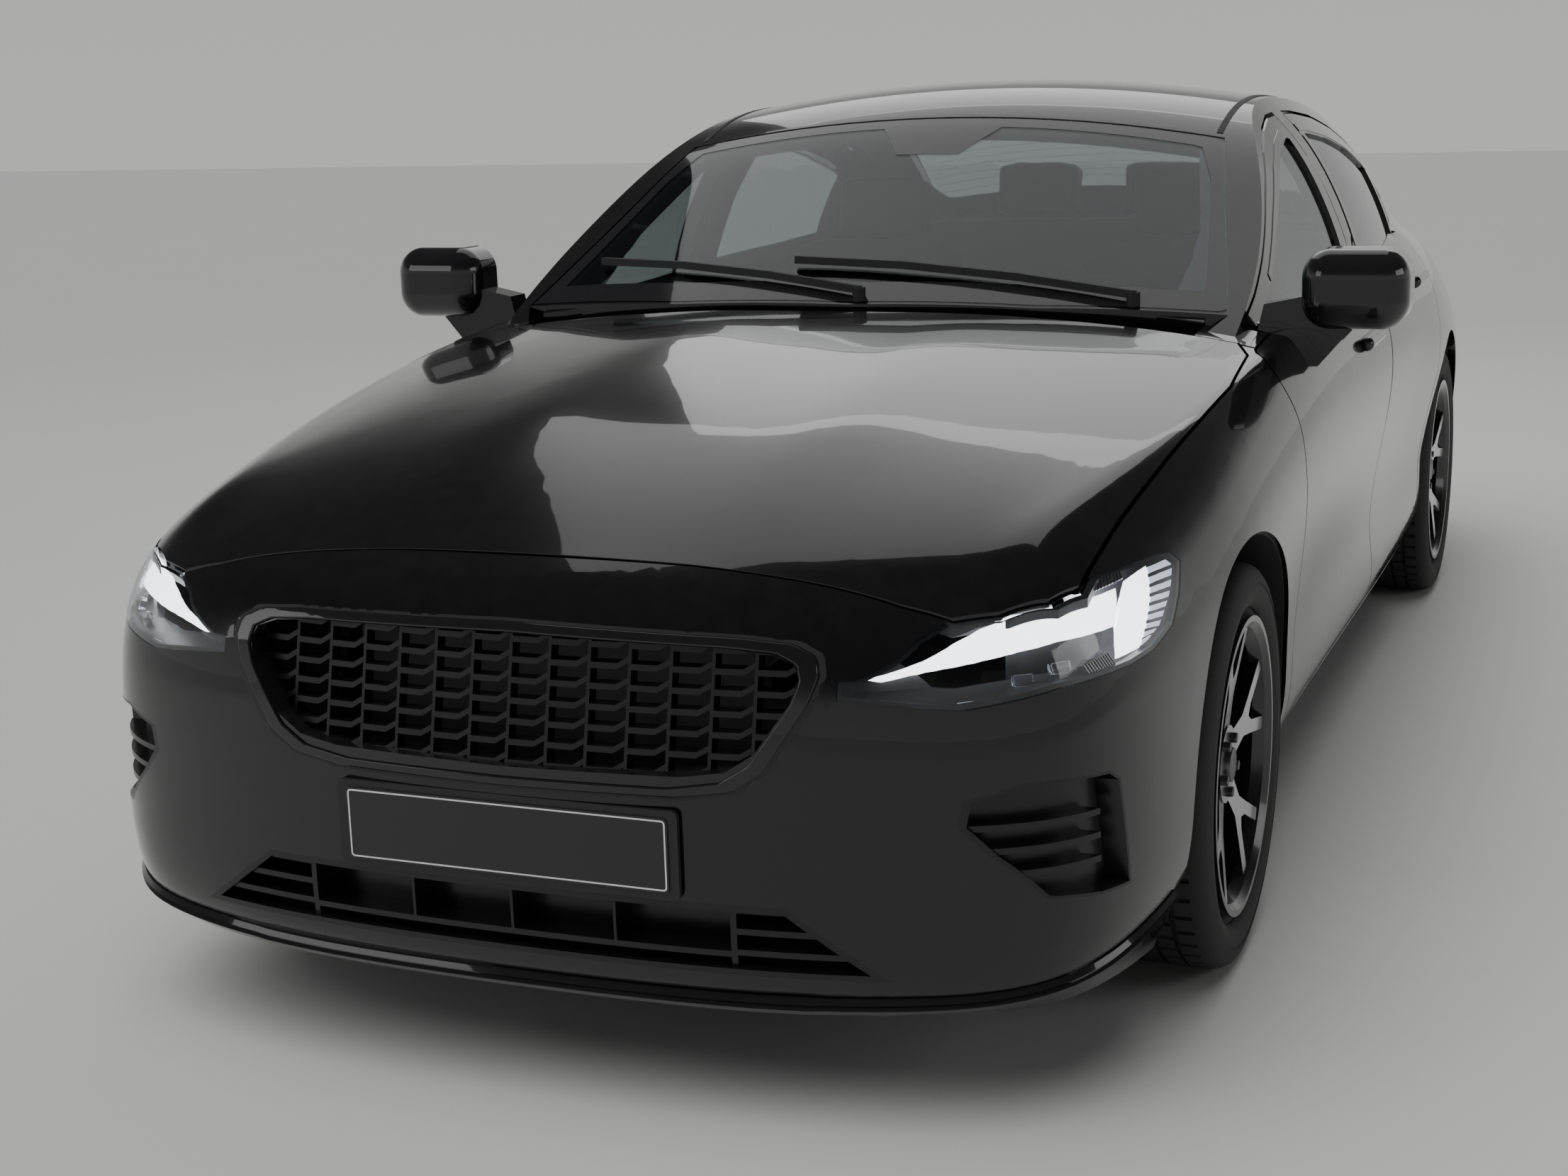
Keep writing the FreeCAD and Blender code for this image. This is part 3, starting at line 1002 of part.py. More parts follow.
def body_sides(roof_zone):
    """Left and right: sill, pillars, cant rail, glass flanges, scuttle and rear quarter."""
    half = LEFT_HALF
    door_space = DOOR_CLEAR.common(FRONT_CLEAR.fuse(REAR_CLEAR))
    under_glass = roof_volume(size("pane_setback") + SEAT_CLEARANCE)
    rebate = BOTH_SCREENS.cut(under_glass)
    holes = [plan_prism([(x * HALF * FLANGE_SHARE, between(centre, station * LENGTH, FLANGE_SHARE))
                         for x, station in shares], HEIGHT / 2, HEIGHT * 2)
             for shares, centre in ((SCREEN_SHARES, SCREEN_CENTRE), (BACKLIGHT_SHARES, BACKLIGHT_CENTRE))]
    ahead = plan_prism([(x * HALF, station * LENGTH + SEAT_CLEARANCE)
                        for x, station in COWL_SHARES[:1] + COWL_EDGE_SHARES + COWL_SHARES[1:2]]
                       + [(HALF, 0), (-HALF, 0)], 0, HEIGHT * 2)
    rails = UPPER_SHELL.common(half).cut(roof_zone).cut(rebate).cut(holes).cut(ahead)
    rails = rails.cut(HOOD_CLEAR).cut(LID_CLEAR)
    rails = rails.cut(PANEL_IN_REAR.common(block(0, HALF, LENGTH / 2, LENGTH, 0, HEIGHT)))
    quarter_window = WINDOW_ZONE.common(block(0, HALF + OVERRUN, QUARTER_WINDOW[0], QUARTER_WINDOW[1],
                                              BELT_SHARE * HEIGHT, HEIGHT))
    rails = rails.cut(quarter_window)
    quarter = OUTER_REAR.cut(PANEL_IN_REAR).common(half).cut(CABIN)
    quarter = quarter.common(block(0, HALF + OVERRUN, REAR_HINGE + OVERRUN, LENGTH, SILL_BOTTOM, HEIGHT))
    quarter = quarter.cut(REAR_BUMPER_ZONE).cut(TAIL_ZONE).cut(LID_CLEAR).cut(ARCH_REAR)
    quarter = quarter.cut(block(0, REAR_CABIN_HALF, LENGTH / 2, REAR_CABIN_END, HEIGHT / 2, HEIGHT))
    sill = OUTER.common(block(size("sill_inner_half_width"), HALF + OVERRUN, SILL_FRONT, SILL_REAR,
                              SILL_BOTTOM, SILL_TOP)).cut(ARCH_REAR).cut(ARCH_FRONT)
    hinge_post = SKIN_IN.common(block(size("sill_inner_half_width"), HALF, HINGE_POST[0], HINGE_POST[1],
                                      SILL_BOTTOM, POST_TOP))
    middle = block(size("sill_inner_half_width"), size("cabin_half_width") - GAP * 2, MIDDLE_POST[0],
                   MIDDLE_POST[1], SILL_BOTTOM, BELT_SHARE * HEIGHT)
    beam = block(SCUTTLE_INNER, DOOR_FOOT_HALF - GAP, HINGE_POST[0], SCREEN_FOOT, POST_TOP - RAIL_WALL, POST_TOP)
    link = block(SCUTTLE_INNER, size("sill_inner_half_width"), HINGE_POST[0], HINGE_POST[1], POST_TOP - RAIL_WALL,
                 POST_TOP)
    riser = block(SCUTTLE_INNER, DOOR_FOOT_HALF - GAP, SCREEN_FOOT - RAIL_WALL * 0.7, SCREEN_FOOT,
                  POST_TOP - RAIL_WALL, HEIGHT).common(under_glass)
    corner = OUTER.cut(PANEL_IN).common(block(DOOR_FOOT_HALF - GAP, HALF, FENDER_REAR + GAP, SCREEN_FOOT,
                                              HEIGHT / 2, HEIGHT))
    corner = corner.cut(HOOD_CLEAR).cut(rebate)
    side = sill.fuse([hinge_post, middle, quarter, rails, beam, link, riser, corner]).cut(door_space)
    side = side.common(half)
    pane = PANE_OUT.cut(PANE_IN).common(quarter_window).cut(OUTER).common(half)
    add_pair("body_side", side)
    add("quarter_panes", both(largest(pane)))


def ring_profile(points, x_centre, station, level):
    """A solid turned round an axle from an (x, radius) profile."""
    centre = Vector(x_centre, along(station), level)
    corners = [Vector(x_centre + x, along(station), level + radius) for x, radius in points]
    face = Part.Face(Part.makePolygon(corners + [corners[0]]))
    return face.revolve(centre, Vector(1, 0, 0), 360)


def tyre(x_centre, station):
    half = size("tyre_width") / 2
    outer = size("tyre_radius")
    inner = size("rim_radius")
    wall = outer - inner
    points = [(half * x, inner + wall * radius) for x, radius in TYRE_SHARES]
    points += [(-x, radius) for x, radius in reversed(points)]
    return ring_profile(points, x_centre, station, AXLE_Z)


def spoke_star(side):
    """Five forked spokes in the wheel's plane, dished towards the hub, round the origin."""
    radius = size("rim_radius")
    points = [Vector(0, wide * radius, reach * radius) for reach, wide in SPOKE_SHARES]
    spoke = prism(points, Vector(side * SPOKE_DEPTH, 0, 0))
    spoke.translate(Vector(-side * SPOKE_DEPTH, 0, 0))
    spoke.rotate(Vector(0, 0, radius), Vector(0, 1, 0), side * SPOKE_DISH)
    spokes = []
    for turn in range(SPOKES):
        copy = spoke.copy()
        copy.rotate(Vector(0, 0, 0), Vector(1, 0, 0), turn * 360.0 / SPOKES)
        spokes.append(copy)
    return spokes


def rim(x_centre, station, side):
    """Rim, five forked spokes, hub and brake disc of one wheel, outer face at the given side."""
    half = size("tyre_width") / 2 - size("rim_inset")
    inner = size("rim_radius")
    lip = [(half, inner), (half, inner - RIM_WALL), (half - RIM_WALL, inner - RIM_WALL * 2),
           (half - RIM_WALL * 3, inner - RIM_WALL * 3), (-half, inner - RIM_WALL * 2), (-half, inner)]
    shape = ring_profile([(side * x, radius) for x, radius in lip], x_centre, station, AXLE_Z)
    face = x_centre + side * (half - HUB_SINK)
    hub = cross_tube(station, AXLE_Z, min(face, face - side * HUB_RADIUS), max(face, face - side * HUB_RADIUS),
                     HUB_RADIUS)
    disc = cross_tube(station, AXLE_Z, x_centre - DISC_WALL / 2, x_centre + DISC_WALL / 2, DISC_RADIUS)
    hat = cross_tube(station, AXLE_Z, min(x_centre, face - side * HUB_RADIUS / 2),
                     max(x_centre, face - side * HUB_RADIUS / 2), HUB_RADIUS * 0.9)
    barrel = cross_tube(station, AXLE_Z, x_centre - half, x_centre + half, inner - RIM_WALL)
    spokes = []
    for spoke in spoke_star(side):
        spoke.translate(Vector(x_centre + side * (half - RIM_WALL), along(station), AXLE_Z))
        spokes.append(spoke.common(barrel))
    return shape.fuse([hub, disc, hat] + spokes)


def wheels():
    for end, station in (("front", FRONT_AXLE), ("rear", REAR_AXLE)):
        for side, word in ((1, "left"), (-1, "right")):
            add("%s_tyre_%s" % (end, word), tyre(side * WHEEL_X, station))
            add("%s_rim_%s" % (end, word), rim(side * WHEEL_X, station, side))


def knuckle(station, spread):
    """Wheel carrier of the left side with its spindle end and brake caliper."""
    x = WHEEL_X - SPINDLE_BACK
    upright = block(x - KNUCKLE_HALF, x + KNUCKLE_HALF, station - KNUCKLE_HALF, station + KNUCKLE_HALF,
                    AXLE_Z - BALL_DROP, AXLE_Z + BALL_DROP)
    flange = cross_tube(station, AXLE_Z, x, WHEEL_X - DISC_WALL / 2 - SHAFT_CLEARANCE, HUB_RADIUS * 0.8)
    caliper = ring_profile([(x - WHEEL_X, DISC_RADIUS * 0.70), (x - WHEEL_X, CALIPER_RADIUS),
                            (DISC_WALL * 1.2, CALIPER_RADIUS), (DISC_WALL * 1.2, DISC_RADIUS * 0.70)],
                           WHEEL_X, station, AXLE_Z)
    cap = block(0, HALF, station + KNUCKLE_HALF * spread, station + DISC_RADIUS * 2, AXLE_Z - DISC_RADIUS * 0.4,
                AXLE_Z + DISC_RADIUS * 0.4)
    caliper = caliper.common(cap)
    slot = cross_tube(station, AXLE_Z, WHEEL_X - DISC_WALL / 2 - DISC_CLEARANCE,
                      WHEEL_X + DISC_WALL / 2 + DISC_CLEARANCE, DISC_RADIUS + DISC_CLEARANCE)
    bridge = block(x - KNUCKLE_HALF, x + KNUCKLE_HALF, station, station + DISC_RADIUS, AXLE_Z - KNUCKLE_HALF,
                   AXLE_Z + KNUCKLE_HALF)
    return largest(upright.fuse([flange, bridge, caliper.cut(slot)]))


def arm(inner_x, outer_x, station, level, spread, wall):
    """One A-shaped suspension arm seen from above."""
    outline = [(inner_x, station - spread), (outer_x, station - KNUCKLE_HALF), (outer_x, station + KNUCKLE_HALF),
               (inner_x, station + spread), (inner_x, station + spread - wall * 2),
               (between(inner_x, outer_x, 0.7), station), (inner_x, station - spread + wall * 2)]
    return plan_prism(outline, level - wall / 2, level + wall / 2)


def suspension(station, tower_top):
    """Subframe with arms and dampers on both sides."""
    x = WHEEL_X - SPINDLE_BACK
    low = arm(SUBFRAME_HALF, x + KNUCKLE_HALF, station, AXLE_Z - BALL_DROP - ARM_WALL / 2 - SHAFT_CLEARANCE,
              ARM_SPREAD, ARM_WALL)
    high = arm(SUBFRAME_HALF, x + KNUCKLE_HALF, station, AXLE_Z + BALL_DROP + ARM_WALL / 2 + SHAFT_CLEARANCE,
               ARM_SPREAD, ARM_WALL)
    damper = post(DAMPER_X, station, AXLE_Z - BALL_DROP - ARM_WALL / 2, DAMPER_TOP, DAMPER_RADIUS)
    half = low.fuse([high, damper])
    frame = block(-SUBFRAME_HALF, SUBFRAME_HALF, station - ARM_SPREAD, station + ARM_SPREAD,
                  AXLE_Z - BALL_DROP - ARM_WALL, AXLE_Z - BALL_DROP)
    tower = block(SUBFRAME_HALF - ARM_WALL, SUBFRAME_HALF, station - ARM_SPREAD, station + ARM_SPREAD,
                  AXLE_Z - BALL_DROP - ARM_WALL, tower_top)
    return frame.fuse([tower, mirrored(tower), half, mirrored(half)])


def wheel_liners():
    """Thin arches inside the wings over all four wheels."""
    liners = []
    for station in (FRONT_AXLE, REAR_AXLE):
        outer = size("arch_radius") - SEAT_CLEARANCE
        tube = cross_tube(station, AXLE_Z, size("liner_inner"), HALF, outer)
        tube = tube.cut(cross_tube(station, AXLE_Z, size("liner_inner"), HALF, outer - size("liner_wall")))
        tube = tube.common(block(0, HALF, 0, LENGTH, AXLE_Z - size("rim_radius") / 3, HEIGHT))
        inside = SKIN_IN if station < LENGTH / 2 else PANEL_IN_REAR
        tube = tube.common(inside)
        liners.append(largest(tube))
    add("wheel_liners", Part.Compound(liners + [mirrored(liner) for liner in liners]))


def running_gear():
    add("front_suspension", suspension(FRONT_AXLE, AXLE_Z + BALL_DROP + ARM_WALL))
    rear = suspension(REAR_AXLE, BOOT_FLOOR - size("floor_wall"))
    carrier = knuckle(REAR_AXLE, 1.0)
    pin = post(WHEEL_X - SPINDLE_BACK, REAR_AXLE, AXLE_Z - BALL_DROP - ARM_WALL, AXLE_Z + BALL_DROP + ARM_WALL,
               KNUCKLE_HALF / 2)
    add("rear_suspension", rear.fuse([carrier, pin, mirrored(carrier), mirrored(pin)]))
    add_pair("front_knuckle", knuckle(FRONT_AXLE, 1.0))
    wheel_liners()


def floor():
    """Floor pan with its tunnel and the raised boot floor."""
    inner = size("sill_inner_half_width")
    low = size("floor_level")
    wall = size("floor_wall")
    pan = block(-inner, inner, CABIN_FRONT, FLOOR_REAR, low, low + wall)
    tunnel = block(-TUNNEL_HALF, TUNNEL_HALF, CABIN_FRONT, FLOOR_REAR, low, low + TUNNEL_RISE)
    hollow = block(-TUNNEL_HALF + wall, TUNNEL_HALF - wall, CABIN_FRONT - OVERRUN, FLOOR_REAR - wall, 0,
                   low + TUNNEL_RISE - wall)
    kick = block(-BOOT_HALF, BOOT_HALF, FLOOR_REAR - wall, FLOOR_REAR, low, BOOT_FLOOR)
    boot = block(-BOOT_HALF, BOOT_HALF, FLOOR_REAR - wall, BOOT_REAR, BOOT_FLOOR - wall, BOOT_FLOOR)
    pan = pan.cut(ARCH_REAR).cut(mirrored(ARCH_REAR))
    add("floor_pan", pan.fuse([tunnel, kick, boot]).cut(hollow))


def exhaust():
    """One pipe with a silencer under the boot and a hanger to the floor."""
    radius = size("exhaust_radius")
    level = size("floor_level") - radius * 1.4
    pipe = Part.makeCylinder(radius, EXHAUST_REAR - EXHAUST_FRONT, Vector(EXHAUST_X, along(EXHAUST_FRONT), level),
                             Vector(0, 1, 0))
    muffler = block(-SUBFRAME_HALF, EXHAUST_X + radius * 2, EXHAUST_REAR - MUFFLER_LONG * 1.4,
                    EXHAUST_REAR - MUFFLER_LONG * 0.4, level, level + radius * 4)
    hangers = [block(EXHAUST_X - radius / 2, EXHAUST_X + radius / 2, EXHAUST_FRONT + radius, EXHAUST_FRONT + radius * 2,
                     level, size("floor_level")),
               block(0, radius, EXHAUST_REAR - MUFFLER_LONG, EXHAUST_REAR - MUFFLER_LONG + radius, level,
                     BOOT_FLOOR - size("floor_wall"))]
    add("exhaust", pipe.fuse([muffler] + hangers))


def bulkhead():
    """Cowl and bulkhead between engine bay and cabin."""
    inner = size("sill_inner_half_width")
    wall = size("floor_wall")
    plate = block(-inner, inner, CABIN_FRONT, CABIN_FRONT + wall, size("floor_level") + wall, SIDE_SHARES[0][1] * HEIGHT)
    plate = plate.cut(block(-TUNNEL_HALF, TUNNEL_HALF, 0, LENGTH, 0, size("floor_level") + TUNNEL_RISE))
    plate = plate.cut(both(block(SCUTTLE_INNER - SEAT_CLEARANCE, HALF, 0, LENGTH,
                                 POST_TOP - RAIL_WALL - SEAT_CLEARANCE, HEIGHT)))
    base = AXLE_Z + BALL_DROP + ARM_WALL
    rail = block(SUBFRAME_HALF - RAIL_WALL, SUBFRAME_HALF, RAIL_FRONT, CABIN_FRONT, base, base + RAIL_WALL)
    beam = block(-SUBFRAME_HALF, SUBFRAME_HALF, RAIL_FRONT - RAIL_WALL, RAIL_FRONT, base, base + RAIL_WALL)
    tie = block(SUBFRAME_HALF - RAIL_WALL, DAMPER_X + DAMPER_RADIUS, FRONT_AXLE - ARM_SPREAD, FRONT_AXLE + ARM_SPREAD,
                DAMPER_TOP, DAMPER_TOP + ARM_WALL)
    web = block(SUBFRAME_HALF - RAIL_WALL, SUBFRAME_HALF, FRONT_AXLE - ARM_SPREAD, FRONT_AXLE + ARM_SPREAD,
                base, DAMPER_TOP + ARM_WALL)
    half = rail.fuse([tie, web])
    radiator = block(-RADIATOR_HALF, RADIATOR_HALF, RAIL_FRONT - RAIL_WALL - RADIATOR_WALL, RAIL_FRONT - RAIL_WALL,
                     0.20 * HEIGHT, 0.49 * HEIGHT)
    add("front_structure", plate.fuse([beam, radiator, half, mirrored(half)]))


def seat(x, station, half_width):
    """A plain seat: cushion, leaning back and head rest."""
    base = size("floor_level") + size("floor_wall")
    cushion = block(x - half_width, x + half_width, station, station + SEAT_LONG, base + SEAT_HEIGHT * 0.5,
                    base + SEAT_HEIGHT)
    pedestal = block(x - half_width * 0.6, x + half_width * 0.6, station + SEAT_LONG * 0.15,
                     station + SEAT_LONG * 0.85, base, base + SEAT_HEIGHT * 0.5)
    lean = [(station + SEAT_LONG * 0.85, base + SEAT_HEIGHT * 0.8),
            (station + SEAT_LONG * 1.10, base + SEAT_HEIGHT * 0.8),
            (station + SEAT_LONG * 1.55, base + SEAT_HEIGHT + BACK_TALL),
            (station + SEAT_LONG * 1.38, base + SEAT_HEIGHT + BACK_TALL)]
    back = side_prism(lean, x - half_width * 0.95, x + half_width * 0.95)
    head = block(x - half_width * 0.45, x + half_width * 0.45, station + SEAT_LONG * 1.40,
                 station + SEAT_LONG * 1.60, base + SEAT_HEIGHT + BACK_TALL, base + SEAT_HEIGHT + BACK_TALL * 1.28)
    return cushion.fuse([pedestal, back, head])


def interior():
    front = seat(SEAT_X, FRONT_SEAT, SEAT_HALF)
    tunnel = block(-TUNNEL_HALF - SEAT_CLEARANCE, TUNNEL_HALF + SEAT_CLEARANCE, CABIN_FRONT, LENGTH, 0,
                   size("floor_level") + TUNNEL_RISE + SEAT_CLEARANCE)
    add("front_seats", both(front))
    add("rear_seat", seat(0, REAR_SEAT, REAR_SEAT_HALF).cut(tunnel))
    top = [(level_station * LENGTH, level * HEIGHT) for level_station, level in DASH_SHARES]
    dash = side_prism(top, -DASH_HALF, DASH_HALF)
    nose = block(-HALF, HALF, 0, SCREEN_FOOT + SEAT_CLEARANCE, 0, HEIGHT)
    nose = nose.cut(block(-SCUTTLE_INNER + GAP, SCUTTLE_INNER - GAP, 0, LENGTH, 0, HEIGHT))
    dash = dash.cut(nose)
    ring = Part.makeTorus(WHEEL_RING, WHEEL_RING * 0.08, Vector(0, 0, 0), Vector(0, 1, 0))
    hub = Part.makeCylinder(WHEEL_RING * 0.3, WHEEL_RING * 0.3, Vector(0, -WHEEL_RING * 0.2, 0), Vector(0, 1, 0))
    spoke = Part.makeBox(WHEEL_RING * 2, WHEEL_RING * 0.12, WHEEL_RING * 0.2,
                         Vector(-WHEEL_RING, -WHEEL_RING * 0.06, -WHEEL_RING * 0.1))
    column = Part.makeCylinder(WHEEL_RING * 0.12, COLUMN_LONG, Vector(0, 0, 0), Vector(0, -1, 0))
    wheel = ring.fuse([hub, spoke, column])
    wheel.rotate(Vector(0, 0, 0), Vector(1, 0, 0), COLUMN_TILT)
    wheel.translate(Vector(SEAT_X, along(DASH_SHARES[1][0] * LENGTH + COLUMN_LONG * 0.7), 0.60 * HEIGHT))
    add("dashboard", dash)
    add("steering_wheel", wheel.cut(dash))


def engine():
    """One plain block on the front subframe."""
    add("engine_block", block(-ENGINE_HALF, ENGINE_HALF, ENGINE_FRONT, CABIN_FRONT - OVERRUN,
                              AXLE_Z - BALL_DROP + SEAT_CLEARANCE, 0.58 * HEIGHT))


def rear_shelf():
    shelf = block(-REAR_CABIN_HALF + GAP, REAR_CABIN_HALF - GAP, SHELF_FRONT, REAR_CABIN_END - GAP,
                  0.70 * HEIGHT, 0.715 * HEIGHT)
    add("rear_shelf", largest(shelf.cut(UPPER_SHELL)))


def make_all():
    doors()
    bonnet()
    front_fenders()
    front_bumper()
    grilles()
    headlamps()
    tail_lamps()
    rear_bumper()
    boot_lid()
    roof_zone = roof_panel()
    screens()
    cowl()
    body_sides(roof_zone)
    wheels()
    running_gear()
    floor()
    exhaust()
    bulkhead()
    interior()
    engine()
    rear_shelf()


def write_parts():
    """Checks every object and writes each sub-part to its own file."""
    document.recompute()
    os.makedirs("parts", exist_ok=True)
    for piece in document.Objects:
        if "Invalid" in piece.State or "Error" in piece.State:
            raise RuntimeError("failed: " + piece.Label)
    for piece in document.Objects:
        if not hasattr(piece, "Shape"):
            continue
        if piece.Shape.isNull() or not piece.Shape.isValid():
            raise RuntimeError("bad shape: " + piece.Label)
        piece.Shape.exportStep("parts/%s.step" % piece.Label)


make_all()
write_parts()
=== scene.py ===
import math

import bmesh
import bpy
from mathutils import Matrix, Vector
from mathutils.bvhtree import BVHTree


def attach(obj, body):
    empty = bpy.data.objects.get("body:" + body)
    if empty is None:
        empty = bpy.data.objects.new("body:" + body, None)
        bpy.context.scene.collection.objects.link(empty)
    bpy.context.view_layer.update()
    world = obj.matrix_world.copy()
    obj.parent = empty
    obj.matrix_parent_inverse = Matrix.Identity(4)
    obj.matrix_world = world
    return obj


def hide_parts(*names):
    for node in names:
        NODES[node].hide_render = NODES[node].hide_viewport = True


# The looks of a black four-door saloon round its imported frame. Front at -Y, left side at +X, metres.

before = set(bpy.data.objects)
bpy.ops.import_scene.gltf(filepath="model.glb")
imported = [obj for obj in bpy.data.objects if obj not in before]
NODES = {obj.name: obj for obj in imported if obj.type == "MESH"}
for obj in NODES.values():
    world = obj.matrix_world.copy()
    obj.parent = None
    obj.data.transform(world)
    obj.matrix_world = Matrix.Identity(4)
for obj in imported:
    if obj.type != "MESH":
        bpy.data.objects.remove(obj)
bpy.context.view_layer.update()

SPAN = 4.761
HALF_LENGTH = SPAN / 2
HALF_WIDE = 0.925
TALL = 1.431
FRONT_AXLE = 0.872
REAR_AXLE = 3.744
AXLE_RISE = 0.335
WHEEL_MIDDLE = 0.790
QUARTER_TURN = math.radians(90)
SPOKE_REACH = 0.2375
SPOKE_FACE = 0.862
TURNED_FACING = 0.985
PAINT = (0.0045, 0.0045, 0.005, 1.0)
MOULDED = (0.010, 0.010, 0.011, 1.0)
GRAINED = (0.014, 0.014, 0.015, 1.0)
RUBBER = (0.012, 0.012, 0.012, 1.0)
HIDE = (0.018, 0.017, 0.017, 1.0)
STEEL = (0.060, 0.060, 0.063, 1.0)
BARE = (0.56, 0.56, 0.57, 1.0)
DUST_TONE = (0.20, 0.19, 0.18, 1.0)


# Materials


def node_group(name, inputs, outputs):
    """An empty group with its named sockets, and its two end nodes."""
    tree = bpy.data.node_groups.new(name, "ShaderNodeTree")
    for label, value in inputs:
        socket = tree.interface.new_socket(name=label, in_out="INPUT", socket_type="NodeSocketFloat")
        socket.default_value = value
    for label in outputs:
        tree.interface.new_socket(name=label, in_out="OUTPUT", socket_type="NodeSocketFloat")
    return tree, tree.nodes.new("NodeGroupInput"), tree.nodes.new("NodeGroupOutput")


def math_node(tree, operation, first, second=0.0):
    """One Math node; each operand is a socket or a number."""
    node = tree.nodes.new("ShaderNodeMath")
    node.operation = operation
    for socket, value in zip(node.inputs, (first, second)):
        if isinstance(value, (int, float)):
            socket.default_value = value
        else:
            tree.links.new(value, socket)
    return node.outputs[0]


def noise(tree, scale, detail=2.0):
    """Noise over Object coordinates at a scale per metre."""
    place = tree.nodes.new("ShaderNodeTexCoord")
    node = tree.nodes.new("ShaderNodeTexNoise")
    node.inputs["Detail"].default_value = detail
    if isinstance(scale, (int, float)):
        node.inputs["Scale"].default_value = scale
    else:
        tree.links.new(scale, node.inputs["Scale"])
    tree.links.new(place.outputs["Object"], node.inputs["Vector"])
    return node.outputs["Fac"]


def make_ripple():
    """The faint unevenness of a sprayed coat."""
    tree, start, end = node_group("lacquer_ripple", [("Fine", 260.0), ("Broad", 7.0)], ["Height"])
    fine = noise(tree, start.outputs["Fine"])
    broad = noise(tree, start.outputs["Broad"], 1.0)
    total = math_node(tree, "ADD", math_node(tree, "MULTIPLY", fine, 0.10), broad)
    tree.links.new(total, end.inputs["Height"])
    return tree


def make_dust():
    """Dust that settles on what faces up, in loose patches."""
    tree, start, end = node_group("settled_dust", [("Scale", 40.0), ("Amount", 0.5)], ["Mask"])
    shape = tree.nodes.new("ShaderNodeNewGeometry")
    parts = tree.nodes.new("ShaderNodeSeparateXYZ")
    tree.links.new(shape.outputs["Normal"], parts.inputs[0])
    facing = math_node(tree, "MAXIMUM", parts.outputs["Z"], 0.0)
    patches = noise(tree, start.outputs["Scale"], 6.0)
    mask = math_node(tree, "MULTIPLY", math_node(tree, "MULTIPLY", facing, patches), start.outputs["Amount"])
    tree.links.new(mask, end.inputs["Mask"])
    return tree


def make_grain():
    """Moulded or leather grain: small cells with a soft variation."""
    tree, start, end = node_group("grain", [("Cells", 900.0), ("Blotch", 12.0)], ["Height", "Tone"])
    place = tree.nodes.new("ShaderNodeTexCoord")
    cells = tree.nodes.new("ShaderNodeTexVoronoi")
    tree.links.new(place.outputs["Object"], cells.inputs["Vector"])
    tree.links.new(start.outputs["Cells"], cells.inputs["Scale"])
    tree.links.new(cells.outputs["Distance"], end.inputs["Height"])
    tree.links.new(noise(tree, start.outputs["Blotch"], 4.0), end.inputs["Tone"])
    return tree


RIPPLE = make_ripple()
DUST = make_dust()
GRAIN = make_grain()


def placed_group(tree, group, **values):
    """A copy of a group in a material, with its own values."""
    node = tree.nodes.new("ShaderNodeGroup")
    node.node_tree = group
    for label, value in values.items():
        node.inputs[label].default_value = value
    return node


def bare_material(name, color, roughness, **sockets):
    """A material with only its shader; other sockets by name with spaces as underscores."""
    material = bpy.data.materials.new(name)
    material.use_nodes = True
    shader = material.node_tree.nodes["Principled BSDF"]
    shader.inputs["Base Color"].default_value = color
    shader.inputs["Roughness"].default_value = roughness
    for label, value in sockets.items():
        shader.inputs[label.replace("_", " ")].default_value = value
    return material, material.node_tree, shader


def blended_color(tree, shader, first, second, mask):
    """Base colour between two colours by a mask."""
    mix = tree.nodes.new("ShaderNodeMix")
    mix.data_type = "RGBA"
    mix.inputs["A"].default_value = first
    mix.inputs["B"].default_value = second
    tree.links.new(mask, mix.inputs["Factor"])
    tree.links.new(mix.outputs["Result"], shader.inputs["Base Color"])


def bumped(tree, shader, height, strength, distance):
    """A Bump node from a height to the shader's normal."""
    bump = tree.nodes.new("ShaderNodeBump")
    bump.inputs["Strength"].default_value = strength
    bump.inputs["Distance"].default_value = distance
    tree.links.new(height, bump.inputs["Height"])
    tree.links.new(bump.outputs["Normal"], shader.inputs["Normal"])


def lacquer(name, color, roughness=0.16):
    """Sprayed and polished paint under a clear coat, with a trace of dust."""
    material, tree, shader = bare_material(name, color, roughness, Coat_Weight=1.0, Coat_Roughness=0.02,
                                           Specular_IOR_Level=0.12)
    dust = placed_group(tree, DUST, Scale=30.0, Amount=0.05)
    blended_color(tree, shader, color, DUST_TONE, dust.outputs["Mask"])
    ripple = placed_group(tree, RIPPLE)
    bumped(tree, shader, ripple.outputs["Height"], 0.06, 0.002)
    return material


def moulding(name, color, roughness, cells=1400.0, strength=0.12):
    """Moulded plastic or rubber with a fine grain and uneven sheen."""
    material, tree, shader = bare_material(name, color, roughness)
    grain = placed_group(tree, GRAIN, Cells=cells, Blotch=9.0)
    lighter = tuple(min(1.0, part * 1.9) for part in color[:3]) + (1.0,)
    blended_color(tree, shader, color, lighter, grain.outputs["Tone"])
    uneven = math_node(tree, "MULTIPLY_ADD", grain.outputs["Tone"], 0.14)
    uneven.node.inputs[2].default_value = roughness - 0.07
    tree.links.new(uneven, shader.inputs["Roughness"])
    bumped(tree, shader, grain.outputs["Height"], strength, 0.0006)
    return material


def bare_metal(name, color, roughness):
    """Metal with a fine uneven sheen."""
    material, tree, shader = bare_material(name, color, roughness, Metallic=1.0)
    grain = placed_group(tree, GRAIN, Cells=1500.0, Blotch=25.0)
    uneven = math_node(tree, "MULTIPLY_ADD", grain.outputs["Tone"], 0.10)
    uneven.node.inputs[2].default_value = roughness - 0.03
    tree.links.new(uneven, shader.inputs["Roughness"])
    darker = tuple(part * 0.85 for part in color[:3]) + (1.0,)
    blended_color(tree, shader, color, darker, grain.outputs["Tone"])
    return material


